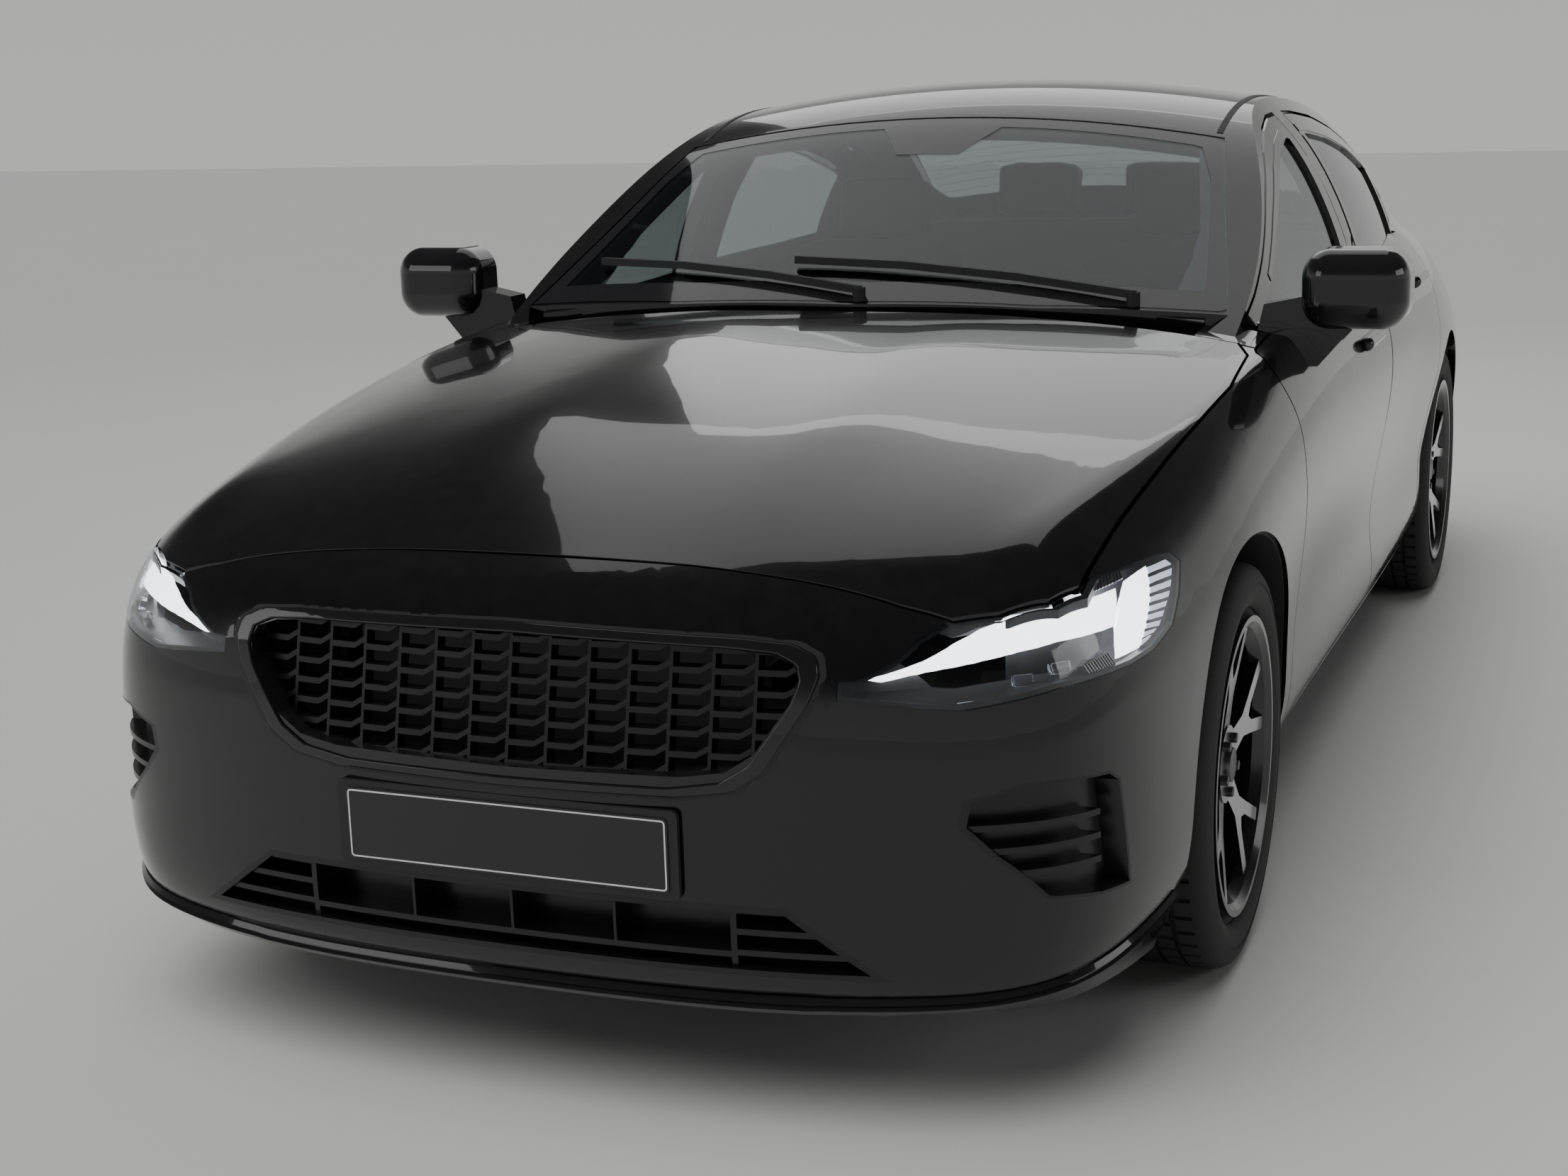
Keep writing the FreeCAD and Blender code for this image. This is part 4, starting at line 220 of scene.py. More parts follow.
def clear_glass(name, tint, roughness=0.0, smear=0.02):
    """Glass, with a faint smear in its gloss."""
    material, tree, shader = bare_material(name, tint, roughness, Transmission_Weight=1.0, IOR=1.45)
    patch = noise(tree, 6.0, 5.0)
    uneven = math_node(tree, "MULTIPLY", patch, smear)
    tree.links.new(uneven, shader.inputs["Roughness"])
    return material


def glowing(name, color, strength):
    """A lit light guide; its white is a little uneven along its length."""
    material, tree, shader = bare_material(name, color, 0.4, Emission_Strength=strength)
    mix = tree.nodes.new("ShaderNodeMix")
    mix.data_type = "RGBA"
    mix.inputs["A"].default_value = color
    mix.inputs["B"].default_value = (color[0] * 0.86, color[1] * 0.9, color[2], 1.0)
    tree.links.new(noise(tree, 18.0), mix.inputs["Factor"])
    tree.links.new(mix.outputs["Result"], shader.inputs["Emission Color"])
    return material


def turned_alloy(name):
    """Black wheel lacquer, bright where the outer face was turned bare."""
    material, tree, shader = bare_material(name, MOULDED, 0.22, Coat_Weight=0.6, Coat_Roughness=0.05)
    place = tree.nodes.new("ShaderNodeTexCoord")
    parts = tree.nodes.new("ShaderNodeSeparateXYZ")
    tree.links.new(place.outputs["Normal"], parts.inputs[0])
    outward = math_node(tree, "GREATER_THAN", math_node(tree, "ABSOLUTE", parts.outputs["X"]), TURNED_FACING)
    where = tree.nodes.new("ShaderNodeSeparateXYZ")
    tree.links.new(place.outputs["Object"], where.inputs[0])
    outer = math_node(tree, "GREATER_THAN", math_node(tree, "ABSOLUTE", where.outputs["X"]), SPOKE_FACE)
    ahead = math_node(tree, "ABSOLUTE", math_node(tree, "ADD", where.outputs["Y"], HALF_LENGTH - FRONT_AXLE))
    behind = math_node(tree, "ABSOLUTE", math_node(tree, "ADD", where.outputs["Y"], HALF_LENGTH - REAR_AXLE))
    along = math_node(tree, "MINIMUM", ahead, behind)
    rise = math_node(tree, "ADD", where.outputs["Z"], -AXLE_RISE)
    reach = math_node(tree, "SQRT", math_node(tree, "ADD", math_node(tree, "MULTIPLY", along, along),
                                                math_node(tree, "MULTIPLY", rise, rise)))
    inside = math_node(tree, "LESS_THAN", reach, SPOKE_REACH)
    mask = math_node(tree, "MULTIPLY", math_node(tree, "MULTIPLY", outward, outer), inside)
    blended_color(tree, shader, MOULDED, BARE, mask)
    tree.links.new(mask, shader.inputs["Metallic"])
    rings = placed_group(tree, GRAIN, Cells=500.0, Blotch=60.0)
    bumped(tree, shader, rings.outputs["Tone"], 0.05, 0.0005)
    return material


MATERIALS = {
    "lacquer": lacquer("body_lacquer", PAINT),
    "gloss": lacquer("gloss_moulding", MOULDED, 0.10),
    "grained": moulding("grained_moulding", GRAINED, 0.62),
    "mesh": moulding("satin_moulding", (0.005, 0.005, 0.0055, 1.0), 0.26, 2200.0, 0.04),
    "rubber": moulding("tyre_rubber", RUBBER, 0.72, 1800.0, 0.2),
    "hide": moulding("seat_hide", HIDE, 0.48, 700.0, 0.35),
    "steel": moulding("coated_steel", STEEL, 0.55, 500.0, 0.15),
    "glass": clear_glass("window_glass", (0.55, 0.60, 0.60, 1.0)),
    "lens": clear_glass("lamp_lens", (0.93, 0.95, 0.97, 1.0)),
    "red": clear_glass("tail_lens", (0.45, 0.01, 0.01, 1.0), 0.02),
    "glow": glowing("daylight_guide", (1.0, 1.0, 1.0, 1.0), 4.0),
    "alloy": turned_alloy("turned_alloy"),
    "bowl": moulding("lamp_bowl", (0.035, 0.036, 0.038, 1.0), 0.30, 2500.0, 0.04),
    "bright": bare_metal("satin_bright_metal", (0.62, 0.62, 0.63, 1.0), 0.26),
    "satin_steel": bare_metal("satin_dark_steel", (0.16, 0.16, 0.165, 1.0), 0.34),
    "silvered": bare_metal("silvered_pane", (0.80, 0.82, 0.83, 1.0), 0.03),
    "pale": moulding("pale_line", (0.55, 0.56, 0.57, 1.0), 0.5, 2500.0, 0.02),
    "glow_soft": glowing("soft_guide", (0.85, 0.90, 1.0, 1.0), 0.9),
    "crystal": clear_glass("projector_glass", (0.75, 0.80, 0.86, 1.0), 0.05),
    "red_glow": glowing("tail_guide", (0.9, 0.02, 0.01, 1.0), 0.6),
    "red_solid": moulding("red_reflector", (0.30, 0.008, 0.008, 1.0), 0.2, 900.0, 0.2),
}

DRESS = (
    ("lacquer", ("body_side", "bonnet", "boot_lid", "boot_ledge", "front_bumper", "rear_bumper",
                 "front_door", "rear_door", "front_fender", "roof_panel")),
    ("gloss", ("mirror", "radiator_grille")),
    ("mesh", ("grille_mesh", "lower_grille", "corner_vent")),
    ("grained", ("dashboard", "steering_wheel", "rear_shelf", "wipers", "wheel_liners", "cowl_panel")),
    ("hide", ("front_seats", "rear_seat")),
    ("steel", ("floor_pan", "front_structure", "front_suspension", "rear_suspension", "engine_block",
               "exhaust", "front_knuckle")),
    ("glass", ("windscreen", "rear_window", "quarter_pane", "front_door_pane", "rear_door_pane")),
    ("lens", ("headlamp_lenses",)),
    ("bowl", ("headlamp_housings",)),
    ("glow", ("daylight_strips",)),
    ("red", ("tail_lamp",)),
    ("rubber", ("front_tyre", "rear_tyre")),
    ("alloy", ("front_rim", "rear_rim")),
)


def dress(obj, finish):
    """Gives one finish to the whole of a piece."""
    obj.data.materials.clear()
    obj.data.materials.append(MATERIALS[finish])


for finish, stems in DRESS:
    for stem in stems:
        for node_name, node in NODES.items():
            if node_name.startswith(stem):
                dress(node, finish)


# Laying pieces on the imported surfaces


# A ray that ends farther than NEAR_MISS from its own line has met a hole, and a sheet's edge longer than
# LONG_EDGE spans one. Points nearer than MERGE are one point.
NEAR_MISS = 0.015
LONG_EDGE = 0.12
MERGE = 0.00002
RAY_SIDE = 1.4
RAY_TOP = 2.0
RAY_END = 3.0


def skin_of(*stems):
    """The surface of some nodes, to lay thin pieces on."""
    joined = bmesh.new()
    for name, node in NODES.items():
        if name.startswith(stems):
            joined.from_mesh(node.data)
    tree = BVHTree.FromBMesh(joined)
    joined.free()
    return tree


def aimed(view, first, second, side=1):
    """Start and direction of a ray for a point given in a view: side, plan, front or rear."""
    if view == "side":
        return Vector((side * RAY_SIDE, first - HALF_LENGTH, second)), Vector((-side, 0, 0))
    if view == "plan":
        return Vector((side * first, second - HALF_LENGTH, RAY_TOP)), Vector((0, 0, -1))
    if view == "front":
        return Vector((side * first, -RAY_END, second)), Vector((0, 1, 0))
    return Vector((side * first, RAY_END, second)), Vector((0, -1, 0))


def surface_point(skin, start, push):
    """Where a ray meets a surface, and the normal that faces it."""
    spot, normal = skin.ray_cast(start, push)[:2]
    if spot is None:
        spot, normal = skin.find_nearest(start + push)[:2]
    return spot, -normal if normal.dot(push) > 0 else normal


def path_point(path, share):
    """A point part of the way along a path."""
    lengths = [math.dist(first, second) for first, second in zip(path, path[1:])]
    left = share * sum(lengths)
    for (first, second), length in zip(zip(path, path[1:]), lengths):
        if left <= length and length > 0:
            part = left / length
            return [a + (b - a) * part for a, b in zip(first, second)]
        left -= length
    return list(path[-1])


def beside(path, gap):
    """The same path moved sideways by a gap."""
    moved = []
    for index, point in enumerate(path):
        before = path[max(index - 1, 0)]
        after = path[min(index + 1, len(path) - 1)]
        run = Vector((after[0] - before[0], after[1] - before[1])).normalized()
        moved.append((point[0] - run.y * gap, point[1] + run.x * gap))
    return moved


def finished(name, mesh, finish, body, sharp=35):
    """Makes a mesh a piece of the car that rides on a body."""
    bmesh.ops.recalc_face_normals(mesh, faces=mesh.faces)
    data = bpy.data.meshes.new(name)
    mesh.to_mesh(data)
    mesh.free()
    data.shade_smooth()
    data.set_sharp_from_angle(angle=math.radians(sharp))
    data.materials.append(MATERIALS[finish])
    piece = bpy.data.objects.new(name, data)
    bpy.context.scene.collection.objects.link(piece)
    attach(piece, body)
    return piece


def laid_mesh(skin, view, lower, upper, grid, lift, wall, side=1):
    """A thin sheet on a surface between two paths of a view, left out where the surface has a hole."""
    sheet = bmesh.new()
    bmesh.ops.create_grid(sheet, x_segments=grid[0], y_segments=grid[1], size=0.5)
    missed = []
    for vert in sheet.verts:
        share = vert.co.x + 0.5
        ends = path_point(lower, share), path_point(upper, share)
        first, second = (a + (b - a) * (vert.co.y + 0.5) for a, b in zip(*ends))
        start, push = aimed(view, first, second, side)
        spot, normal = surface_point(skin, start, push)
        if push.cross(spot - start).length > NEAR_MISS:
            missed.append(vert)
        vert.co = spot + normal * lift
    bmesh.ops.delete(sheet, geom=missed, context="VERTS")
    spans = [edge for edge in sheet.edges if edge.calc_length() > LONG_EDGE]
    bmesh.ops.delete(sheet, geom=spans, context="EDGES")
    bmesh.ops.remove_doubles(sheet, verts=sheet.verts, dist=MERGE)
    bmesh.ops.recalc_face_normals(sheet, faces=sheet.faces)
    bmesh.ops.solidify(sheet, geom=sheet.faces[:], thickness=wall)
    return sheet


def laid(name, skin, view, lower, upper, grid, lift, wall, finish, body, side=1):
    """A thin sheet on a surface, as a piece of the car."""
    return finished(name, laid_mesh(skin, view, lower, upper, grid, lift, wall, side), finish, body)


def strip(name, skin, view, path, width, lift, wall, finish, body, side=1, columns=48):
    """A narrow strip along a path."""
    return laid(name, skin, view, beside(path, -width / 2), beside(path, width / 2), (columns, 2), lift,
                wall, finish, body, side)


def side_path(shares):
    """A path of the side view, from shares of the length and the height."""
    return [(a * SPAN, b * TALL) for a, b in shares]


def plan_path(shares):
    """A path of the plan, from shares of the half width and the length."""
    return [(a * HALF_WIDE, b * SPAN) for a, b in shares]


def end_path(shares):
    """A path of the front or rear view, from shares of the half width and the height."""
    return [(a * HALF_WIDE, b * TALL) for a, b in shares]


SIDES = (("left", 1), ("right", -1))

# Glass edges, roof strips, door trim

FRIT_OUTER = ((-0.790, 0.3250), (-0.40, 0.3140), (0.0, 0.3105), (0.40, 0.3140), (0.790, 0.3250),
              (0.722, 0.3850), (0.690, 0.4150), (0.654, 0.4482), (0.30, 0.4484), (0.0, 0.4484),
              (-0.30, 0.4484), (-0.654, 0.4482), (-0.690, 0.4150), (-0.722, 0.3850), (-0.790, 0.3250))
FRIT_INNER = ((-0.735, 0.3360), (-0.40, 0.3270), (0.0, 0.3235), (0.40, 0.3270), (0.735, 0.3360),
              (0.690, 0.3850), (0.660, 0.4150), (0.615, 0.4390), (0.30, 0.4402), (0.0, 0.4405),
              (-0.30, 0.4402), (-0.615, 0.4390), (-0.660, 0.4150), (-0.690, 0.3850), (-0.735, 0.3360))
REAR_FRIT_OUTER = ((-0.612, 0.7050), (0.0, 0.7050), (0.612, 0.7050), (0.672, 0.800), (0.652, 0.8265),
                   (0.0, 0.8365), (-0.652, 0.8265), (-0.672, 0.800), (-0.612, 0.7050))
REAR_FRIT_INNER = ((-0.570, 0.7150), (0.0, 0.7150), (0.570, 0.7150), (0.625, 0.795), (0.600, 0.8150),
                   (0.0, 0.8250), (-0.600, 0.8150), (-0.625, 0.795), (-0.570, 0.7150))
SHROUD_FOOT = ((-0.150, 0.4420), (0.150, 0.4420))
SHROUD_HEAD = ((-0.075, 0.4170), (0.075, 0.4170))
PRINT_LIFT = 0.0006
PRINT_WALL = 0.0005
HEATER_ROWS = 9
HEATER_FIRST = (0.555, 0.722)
HEATER_STEP = (0.007, 0.0105)
HEATER_WIDTH = 0.0012
HEATER_LIFT = 0.0004
HEATER_WALL = 0.0003


def glass_edges():
    """Black ceramic borders of both screens, the camera's shroud and the rear window's heater lines."""
    screen = skin_of("windscreen")
    back = skin_of("rear_window")
    for name, glass, near, far, grid in (
            ("windscreen_border", screen, FRIT_OUTER, FRIT_INNER, (160, 3)),
            ("camera_shroud", screen, SHROUD_FOOT, SHROUD_HEAD, (12, 8)),
            ("rear_window_border", back, REAR_FRIT_OUTER, REAR_FRIT_INNER, (120, 3))):
        laid(name, glass, "plan", plan_path(near), plan_path(far), grid, PRINT_LIFT, PRINT_WALL, "gloss",
             "root")
    lines = []
    for row in range(HEATER_ROWS):
        reach = (HEATER_FIRST[0] + row * HEATER_STEP[0]) * HALF_WIDE
        place = (HEATER_FIRST[1] + row * HEATER_STEP[1]) * SPAN
        near, far = ([(-reach, y), (reach, y)] for y in (place, place + HEATER_WIDTH))
        lines.append(laid_mesh(back, "plan", near, far, (24, 1), HEATER_LIFT, HEATER_WALL))
    finished("rear_window_heater", gathered(lines), "grained", "root")


ROOF_DITCH = ((0.6400, 0.4530), (0.6365, 0.520), (0.6320, 0.600), (0.6270, 0.700))
ROOF_STRIP_WIDTH = 0.013
MOULDING_STAND = 0.0012


def roof_strips():
    """The black mouldings in the roof's ditches."""
    roof = skin_of("roof_panel", "body_side")
    for word, side in SIDES:
        strip("roof_strip_" + word, roof, "plan", plan_path(ROOF_DITCH), ROOF_STRIP_WIDTH, MOULDING_STAND,
              MOULDING_STAND, "grained", "root", side)


BELT = ((0.336, 0.6770), (0.400, 0.6800), (0.520, 0.6880), (0.660, 0.6985), (0.715, 0.7060))
UPPER_FRAME = ((0.3715, 0.7330), (0.4135, 0.8040), (0.4545, 0.8650), (0.482, 0.8960), (0.508, 0.9120),
               (0.534, 0.9165), (0.567, 0.9135), (0.609, 0.8990), (0.651, 0.8760), (0.693, 0.8440),
               (0.722, 0.8180))
# Each door's stretch of the belt, and where its window frame begins.
DOOR_TRIM = (("front_door", 0.340, 0.5265, 0.3715), ("rear_door", 0.5360, 0.712, 0.5475))
TRIM_WIDTH = 0.016
TRIM_LIFT = 0.0015
TRIM_WALL = 0.0020
PILLAR_COVERS = (("front_door", ((0.5140, 0.693), (0.5140, 0.902)), ((0.5268, 0.694), (0.5268, 0.905))),
                 ("rear_door", ((0.5475, 0.695), (0.5475, 0.903)), ((0.5540, 0.696), (0.5540, 0.901))))
COVER_LIFT = 0.0014
COVER_WALL = 0.0018


def clipped(shares, low, high):
    """The stretch of a path between two stations."""
    kept = [point for point in shares if low < point[0] < high]
    ends = []
    for limit in (low, high):
        for first, second in zip(shares, shares[1:]):
            if first[0] <= limit <= second[0]:
                part = (limit - first[0]) / (second[0] - first[0])
                ends.append((limit, first[1] + (second[1] - first[1]) * part))
                break
    return ends[:1] + kept + ends[1:]


def door_trim():
    """Seals along the belts, gloss frames over the windows and covers on the middle pillars."""
    for word, side in SIDES:
        for door, low, high, frame_low in DOOR_TRIM:
            skin = skin_of("%s_%s" % (door, word), "%s_pane_%s" % (door, word))
            for part, path in (("belt_seal", clipped(BELT, low, high)),
                               ("window_frame", clipped(UPPER_FRAME, frame_low, high))):
                strip("%s_%s_%s" % (door, part, word), skin, "side", side_path(path), TRIM_WIDTH, TRIM_LIFT,
                      TRIM_WALL, "gloss", "%s_body_%s" % (door, word), side)
        for door, near, far in PILLAR_COVERS:
            laid("%s_pillar_cover_%s" % (door[:-5], word), skin_of("%s_%s" % (door, word)), "side",
                 side_path(near), side_path(far), (20, 4), COVER_LIFT, COVER_WALL, "gloss",
                 "%s_body_%s" % (door, word), side)


# Path of a painted highlight: a bright strip where light catches the sill's lower edge.
SILL_HIGHLIGHT_PATH = ((1.300, 0.212), (2.300, 0.208), (3.330, 0.214))
SILL_HIGHLIGHT_WIDTH = 0.006


def sill_highlight_strips():
    """A thin bright metal strip low on each side: a painted highlight for the light caught along the sill's
    lower edge.
    """
    sill = skin_of("body_side")
    for word, side in SIDES:
        strip("sill_highlight_" + word, sill, "side", SILL_HIGHLIGHT_PATH, SILL_HIGHLIGHT_WIDTH, MOULDING_STAND, MOULDING_STAND,
              "bright", "root", side)


WALL_PLACES = ((FRONT_AXLE, 0.480), (REAR_AXLE, 0.585))
WALL_RADIUS = 0.384
WALL_FOOT = 0.25
WALL_SHEET = 0.002


def wheelhouse_walls():
    """Flat dark walls inboard of the wheels, clear of a steered tyre."""
    walls = []
    for station, place in WALL_PLACES:
        for word, side in SIDES:
            wall = bmesh.new()
            bmesh.ops.create_circle(wall, cap_ends=True, segments=64, radius=WALL_RADIUS)
            bmesh.ops.rotate(wall, cent=(0, 0, 0), matrix=Matrix.Rotation(QUARTER_TURN, 3, "Y"),
                             verts=wall.verts)
            bmesh.ops.translate(wall, vec=(side * place, station - HALF_LENGTH, AXLE_RISE), verts=wall.verts)
            bmesh.ops.bisect_plane(wall, geom=wall.verts[:] + wall.edges[:] + wall.faces[:],
                                   plane_co=(0, 0, WALL_FOOT), plane_no=(0, 0, 1), clear_inner=True)
            bmesh.ops.solidify(wall, geom=wall.faces[:], thickness=WALL_SHEET)
            walls.append(wall)
    finished("wheelhouse_walls", gathered(walls), "grained", "root")


JAMB_TOP = (3.4575, 0.950)
JAMB_RADIUS = 0.4285
JAMB_ANGLES = [48.0 - step * 5.8 for step in range(11)]
JAMB_HALF = 0.026
JAMB_PLACE = 0.783
JAMB_SHEET = 0.003


def rear_jambs():
    """A dark band behind the rear edge of each rear door."""
    arch = [(REAR_AXLE - JAMB_RADIUS * math.cos(angle), AXLE_RISE + JAMB_RADIUS * math.sin(angle))
            for angle in map(math.radians, JAMB_ANGLES)]
    path = [JAMB_TOP] + arch
    inner, outer = beside(path, -JAMB_HALF), beside(path, JAMB_HALF)
    for word, side in SIDES:
        band = bmesh.new()
        bmesh.ops.create_grid(band, x_segments=60, y_segments=1, size=0.5)
        for vert in band.verts:
            station, height = path_point(inner if vert.co.y < 0 else outer, vert.co.x + 0.5)
            vert.co = Vector((side * JAMB_PLACE, station - HALF_LENGTH, height))
        bmesh.ops.recalc_face_normals(band, faces=band.faces)
        bmesh.ops.solidify(band, geom=band.faces[:], thickness=JAMB_SHEET)
        finished("rear_jamb_" + word, band, "grained", "root")


# Nose and tail


LIP_SECTION = ((0.0060, 0.0010), (0.0005, -0.0010), (-0.0030, -0.0060), (0.0020, -0.0100),
               (-0.0030, -0.0150), (0.0040, -0.0220))
LIP_FOOT = ((0.034, 0.172), (0.064, 0.170))
FRONT_LIP_LINE = ((0.0, 0.1970), (0.0286, 0.1975), (0.1190, 0.2118), (0.2857, 0.2375), (0.4999, 0.2748))
REAR_LIP_LINE = ((3.9516, 0.2719), (4.2849, 0.2547), (4.5706, 0.2361), (4.7610, 0.2361))
LIP_COLUMNS = 96
LIP_CENTRE = 0.75
LIP_RAY = 2.2
LIP_PROBE = 0.300
LIP_ABOVE = 0.010
LIP_SET_IN = 0.001
LIP_SHEET = 0.002


def line_height(line, station):
    """The height of a line in the side view at a station."""
    for first, second in zip(line, line[1:]):
        if station <= second[0]:
            return first[1] + (second[1] - first[1]) * max(station - first[0], 0.0) / (second[0] - first[0])
    return line[-1][1]


GRILLE_EDGE = (
    (-0.30, 0.3400), (0.0, 0.3375), (0.30, 0.3400), (0.39, 0.3500), (0.44, 0.3720), (0.505, 0.4400),
    (0.519, 0.4660), (0.512, 0.4850), (0.475, 0.4960), (0.39, 0.5000), (0.0, 0.5045), (-0.39, 0.5000),
    (-0.475, 0.4960), (-0.512, 0.4850), (-0.519, 0.4660), (-0.505, 0.4400), (-0.44, 0.3720),
    (-0.39, 0.3500), (-0.30, 0.3400),
)
GRILLE_HEIGHT = 0.4215
# The outer two shares bound the painted groove shade, the inner two the raised ring.
RING_SHARES = (1.0, 0.982, 0.977, 0.925)
RING_STAND = 0.0040
RING_EASE = 0.0018


def grille_surround():
    """The raised gloss ring round the grille, and outside it a thin matt dark strip: painted shade standing
    in for the groove.
    """
    nose = skin_of("front_bumper", "radiator_grille", "bonnet")
    rings = [end_path([(x * share, GRILLE_HEIGHT + (z - GRILLE_HEIGHT) * (2 * share - 1))
                       for x, z in GRILLE_EDGE]) for share in RING_SHARES]
    # Painted shade: a flat dark strip on the nose stands in for the shadowed groove outside the ring.
    laid("grille_groove_shade", nose, "front", rings[0], rings[1], (220, 2), PRINT_LIFT, PRINT_WALL, "grained",
         "root")
    ring = laid("grille_surround", nose, "front", rings[2], rings[3], (220, 4), RING_STAND, RING_STAND,
                "gloss", "root")
    ease = ring.modifiers.new("ease", "BEVEL")
    ease.width = RING_EASE
    ease.segments = 2
    ease.limit_method = "ANGLE"
    ease.angle_limit = math.radians(50)


def lip(name, skin, angles, middle, line, finish):
    """The apron under a bumper with the lip's two edges along its top."""
    rows = len(LIP_SECTION) + len(LIP_FOOT)
    band = bmesh.new()
    bmesh.ops.create_grid(band, x_segments=LIP_COLUMNS, y_segments=rows - 1, size=0.5)
    for vert in band.verts:
        angle = math.radians(angles[0] + (angles[1] - angles[0]) * (vert.co.x + 0.5))
        outward = Vector((math.cos(angle), math.sin(angle), 0))
        spot = surface_point(skin, Vector((0, middle, LIP_PROBE)) + outward * LIP_RAY, -outward)[0]
        above = line_height(line, spot.y + HALF_LENGTH) + LIP_ABOVE
        spot, normal = surface_point(skin, Vector((0, middle, above)) + outward * LIP_RAY, -outward)
        inward = Vector((-normal.x, -normal.y, 0)).normalized()
        row = round((vert.co.y + 0.5) * (rows - 1))
        if row < len(LIP_SECTION):
            depth, drop = LIP_SECTION[row]
            height = line_height(line, spot.y + HALF_LENGTH) + drop
        else:
            depth, height = LIP_FOOT[row - len(LIP_SECTION)]
        vert.co = Vector((spot.x, spot.y, height)) + inward * (depth + LIP_SET_IN)
    bmesh.ops.recalc_face_normals(band, faces=band.faces)
    bmesh.ops.solidify(band, geom=band.faces[:], thickness=LIP_SHEET)
    finished(name, band, finish, "root", 25)


PLATE_WIDE = 0.520
PLATE_TALL = 0.110
PLATE_THICK = 0.002
PLATE_DEPTH = 0.0010
PLATE_CORNER = 0.006
PLATE_LIFT = 0.0012
BACKING_MARGIN = (0.030, 0.022)
BACKING_THICK = 0.008
BACKING_DEPTH = 0.0060
BACKING_CORNER = 0.010
BORDER_MARGIN = 0.006
BORDER_WIDTH = 0.0022
BORDER_THICK = 0.0006
BORDER_SHEET = 0.0003


def plate(name, face, low, inward):
    """A bare plate with a thin pale border, on a dark backing; inward is 1 at the front, -1 at the rear."""
    middle = Vector((0, face, low + PLATE_TALL / 2))
    wide, tall = PLATE_WIDE + BACKING_MARGIN[0], PLATE_TALL + BACKING_MARGIN[1]
    backing = rounded_block(middle + Vector((0, inward * BACKING_DEPTH, 0)), (wide, BACKING_THICK, tall),
                            BACKING_CORNER)
    finished(name + "_backing", backing, "grained", "root")
    sheet = rounded_block(middle + Vector((0, inward * PLATE_DEPTH, 0)),
                          (PLATE_WIDE, PLATE_THICK, PLATE_TALL), PLATE_CORNER)
    finished(name, sheet, "gloss", "root")
    border = rounded_block(middle, (PLATE_WIDE - BORDER_MARGIN, BORDER_THICK, PLATE_TALL - BORDER_MARGIN),
                           PLATE_CORNER)
    bmesh.ops.inset_region(border, faces=outer_faces(border, inward), thickness=BORDER_WIDTH,
                           use_even_offset=True)
    front = outer_faces(border, inward)
    inner = min(front, key=lambda part: (part.calc_center_median() - middle).length)
    spare = [part for part in border.faces if part is inner or part not in front]
    bmesh.ops.delete(border, geom=spare, context="FACES")
    bmesh.ops.solidify(border, geom=border.faces[:], thickness=BORDER_SHEET)
    finished(name + "_border", border, "pale", "root")


def outer_faces(shape, inward):
    """The faces of a plate that look away from the car."""
    return [part for part in shape.faces if part.normal.y * inward < -0.9]


def rounded_block(middle, dims, radius, segments=5):
    """A block whose corners in the XZ plane are rounded."""
    shape = bmesh.new()
    bmesh.ops.create_cube(shape, size=1.0)
    bmesh.ops.scale(shape, vec=dims, verts=shape.verts)
    corners = [edge for edge in shape.edges
               if abs((edge.verts[0].co - edge.verts[1].co).normalized().y) > 0.9]
    bmesh.ops.bevel(shape, geom=corners, offset=radius, offset_type="OFFSET", segments=segments, profile=0.5,
                    affect="EDGES", material=-1)
    bmesh.ops.translate(shape, vec=middle, verts=shape.verts)
    bmesh.ops.recalc_face_normals(shape, faces=shape.faces)
    return shape


def eased_block(middle, dims, radius, segments=3):
    """A block with all its edges rounded."""
    shape = bmesh.new()
    bmesh.ops.create_cube(shape, size=1.0)
    bmesh.ops.scale(shape, vec=dims, verts=shape.verts)
    bmesh.ops.bevel(shape, geom=shape.edges[:], offset=radius, offset_type="OFFSET", segments=segments,
                    profile=0.5, affect="EDGES", material=-1)
    bmesh.ops.translate(shape, vec=middle, verts=shape.verts)
    return shape


def gathered(shapes):
    """Several meshes as one."""
    whole = bmesh.new()
    for shape in shapes:
        data = bpy.data.meshes.new("part")
        shape.to_mesh(data)
        shape.free()
        whole.from_mesh(data)
        bpy.data.meshes.remove(data)
    return whole


def flipped(shape):
    """A copy of a mesh on the car's other side."""
    twin = shape.copy()
    bmesh.ops.scale(twin, vec=(-1, 1, 1), verts=twin.verts)
    bmesh.ops.reverse_faces(twin, faces=twin.faces)
    return twin


def both_sides(shape):
    """A mesh and its copy on the car's other side, as one."""
    return gathered([flipped(shape), shape])


def seated(shape, spot, normal, upright, sink):
    """Turns a mesh to look out along a normal and sinks it under the surface."""
    across = upright.cross(normal).normalized()
    turn = Matrix((across, normal, across.cross(normal))).transposed().to_4x4()
    bmesh.ops.transform(shape, matrix=Matrix.Translation(spot - normal * sink) @ turn, verts=shape.verts)
    return shape


# Lamps


UPPER_COMB = ((0.0620, 0.5262), (0.0860, 0.5290))
LOWER_COMB = ((0.0490, 0.4560), (0.0610, 0.4620))
LENS_EDGE = ((0.0215, 0.4405), (0.0290, 0.4455), (0.0390, 0.4515), (0.0530, 0.4535), (0.0640, 0.4540))
ARM_LOW = ((0.0163, 0.4620), (0.0210, 0.4710), (0.0280, 0.4790), (0.0355, 0.4860), (0.0455, 0.4900),
           (0.0610, 0.4890), (0.0690, 0.4890))
ARM_HIGH = ((0.0153, 0.4640), (0.0215, 0.4790), (0.0280, 0.4960), (0.0340, 0.5080), (0.0400, 0.5150),
            (0.0530, 0.5190), (0.0790, 0.5200))
BAR_INNER = ((0.0640, 0.4590), (0.0660, 0.4730), (0.0690, 0.4880), (0.0760, 0.5060), (0.0860, 0.5235))
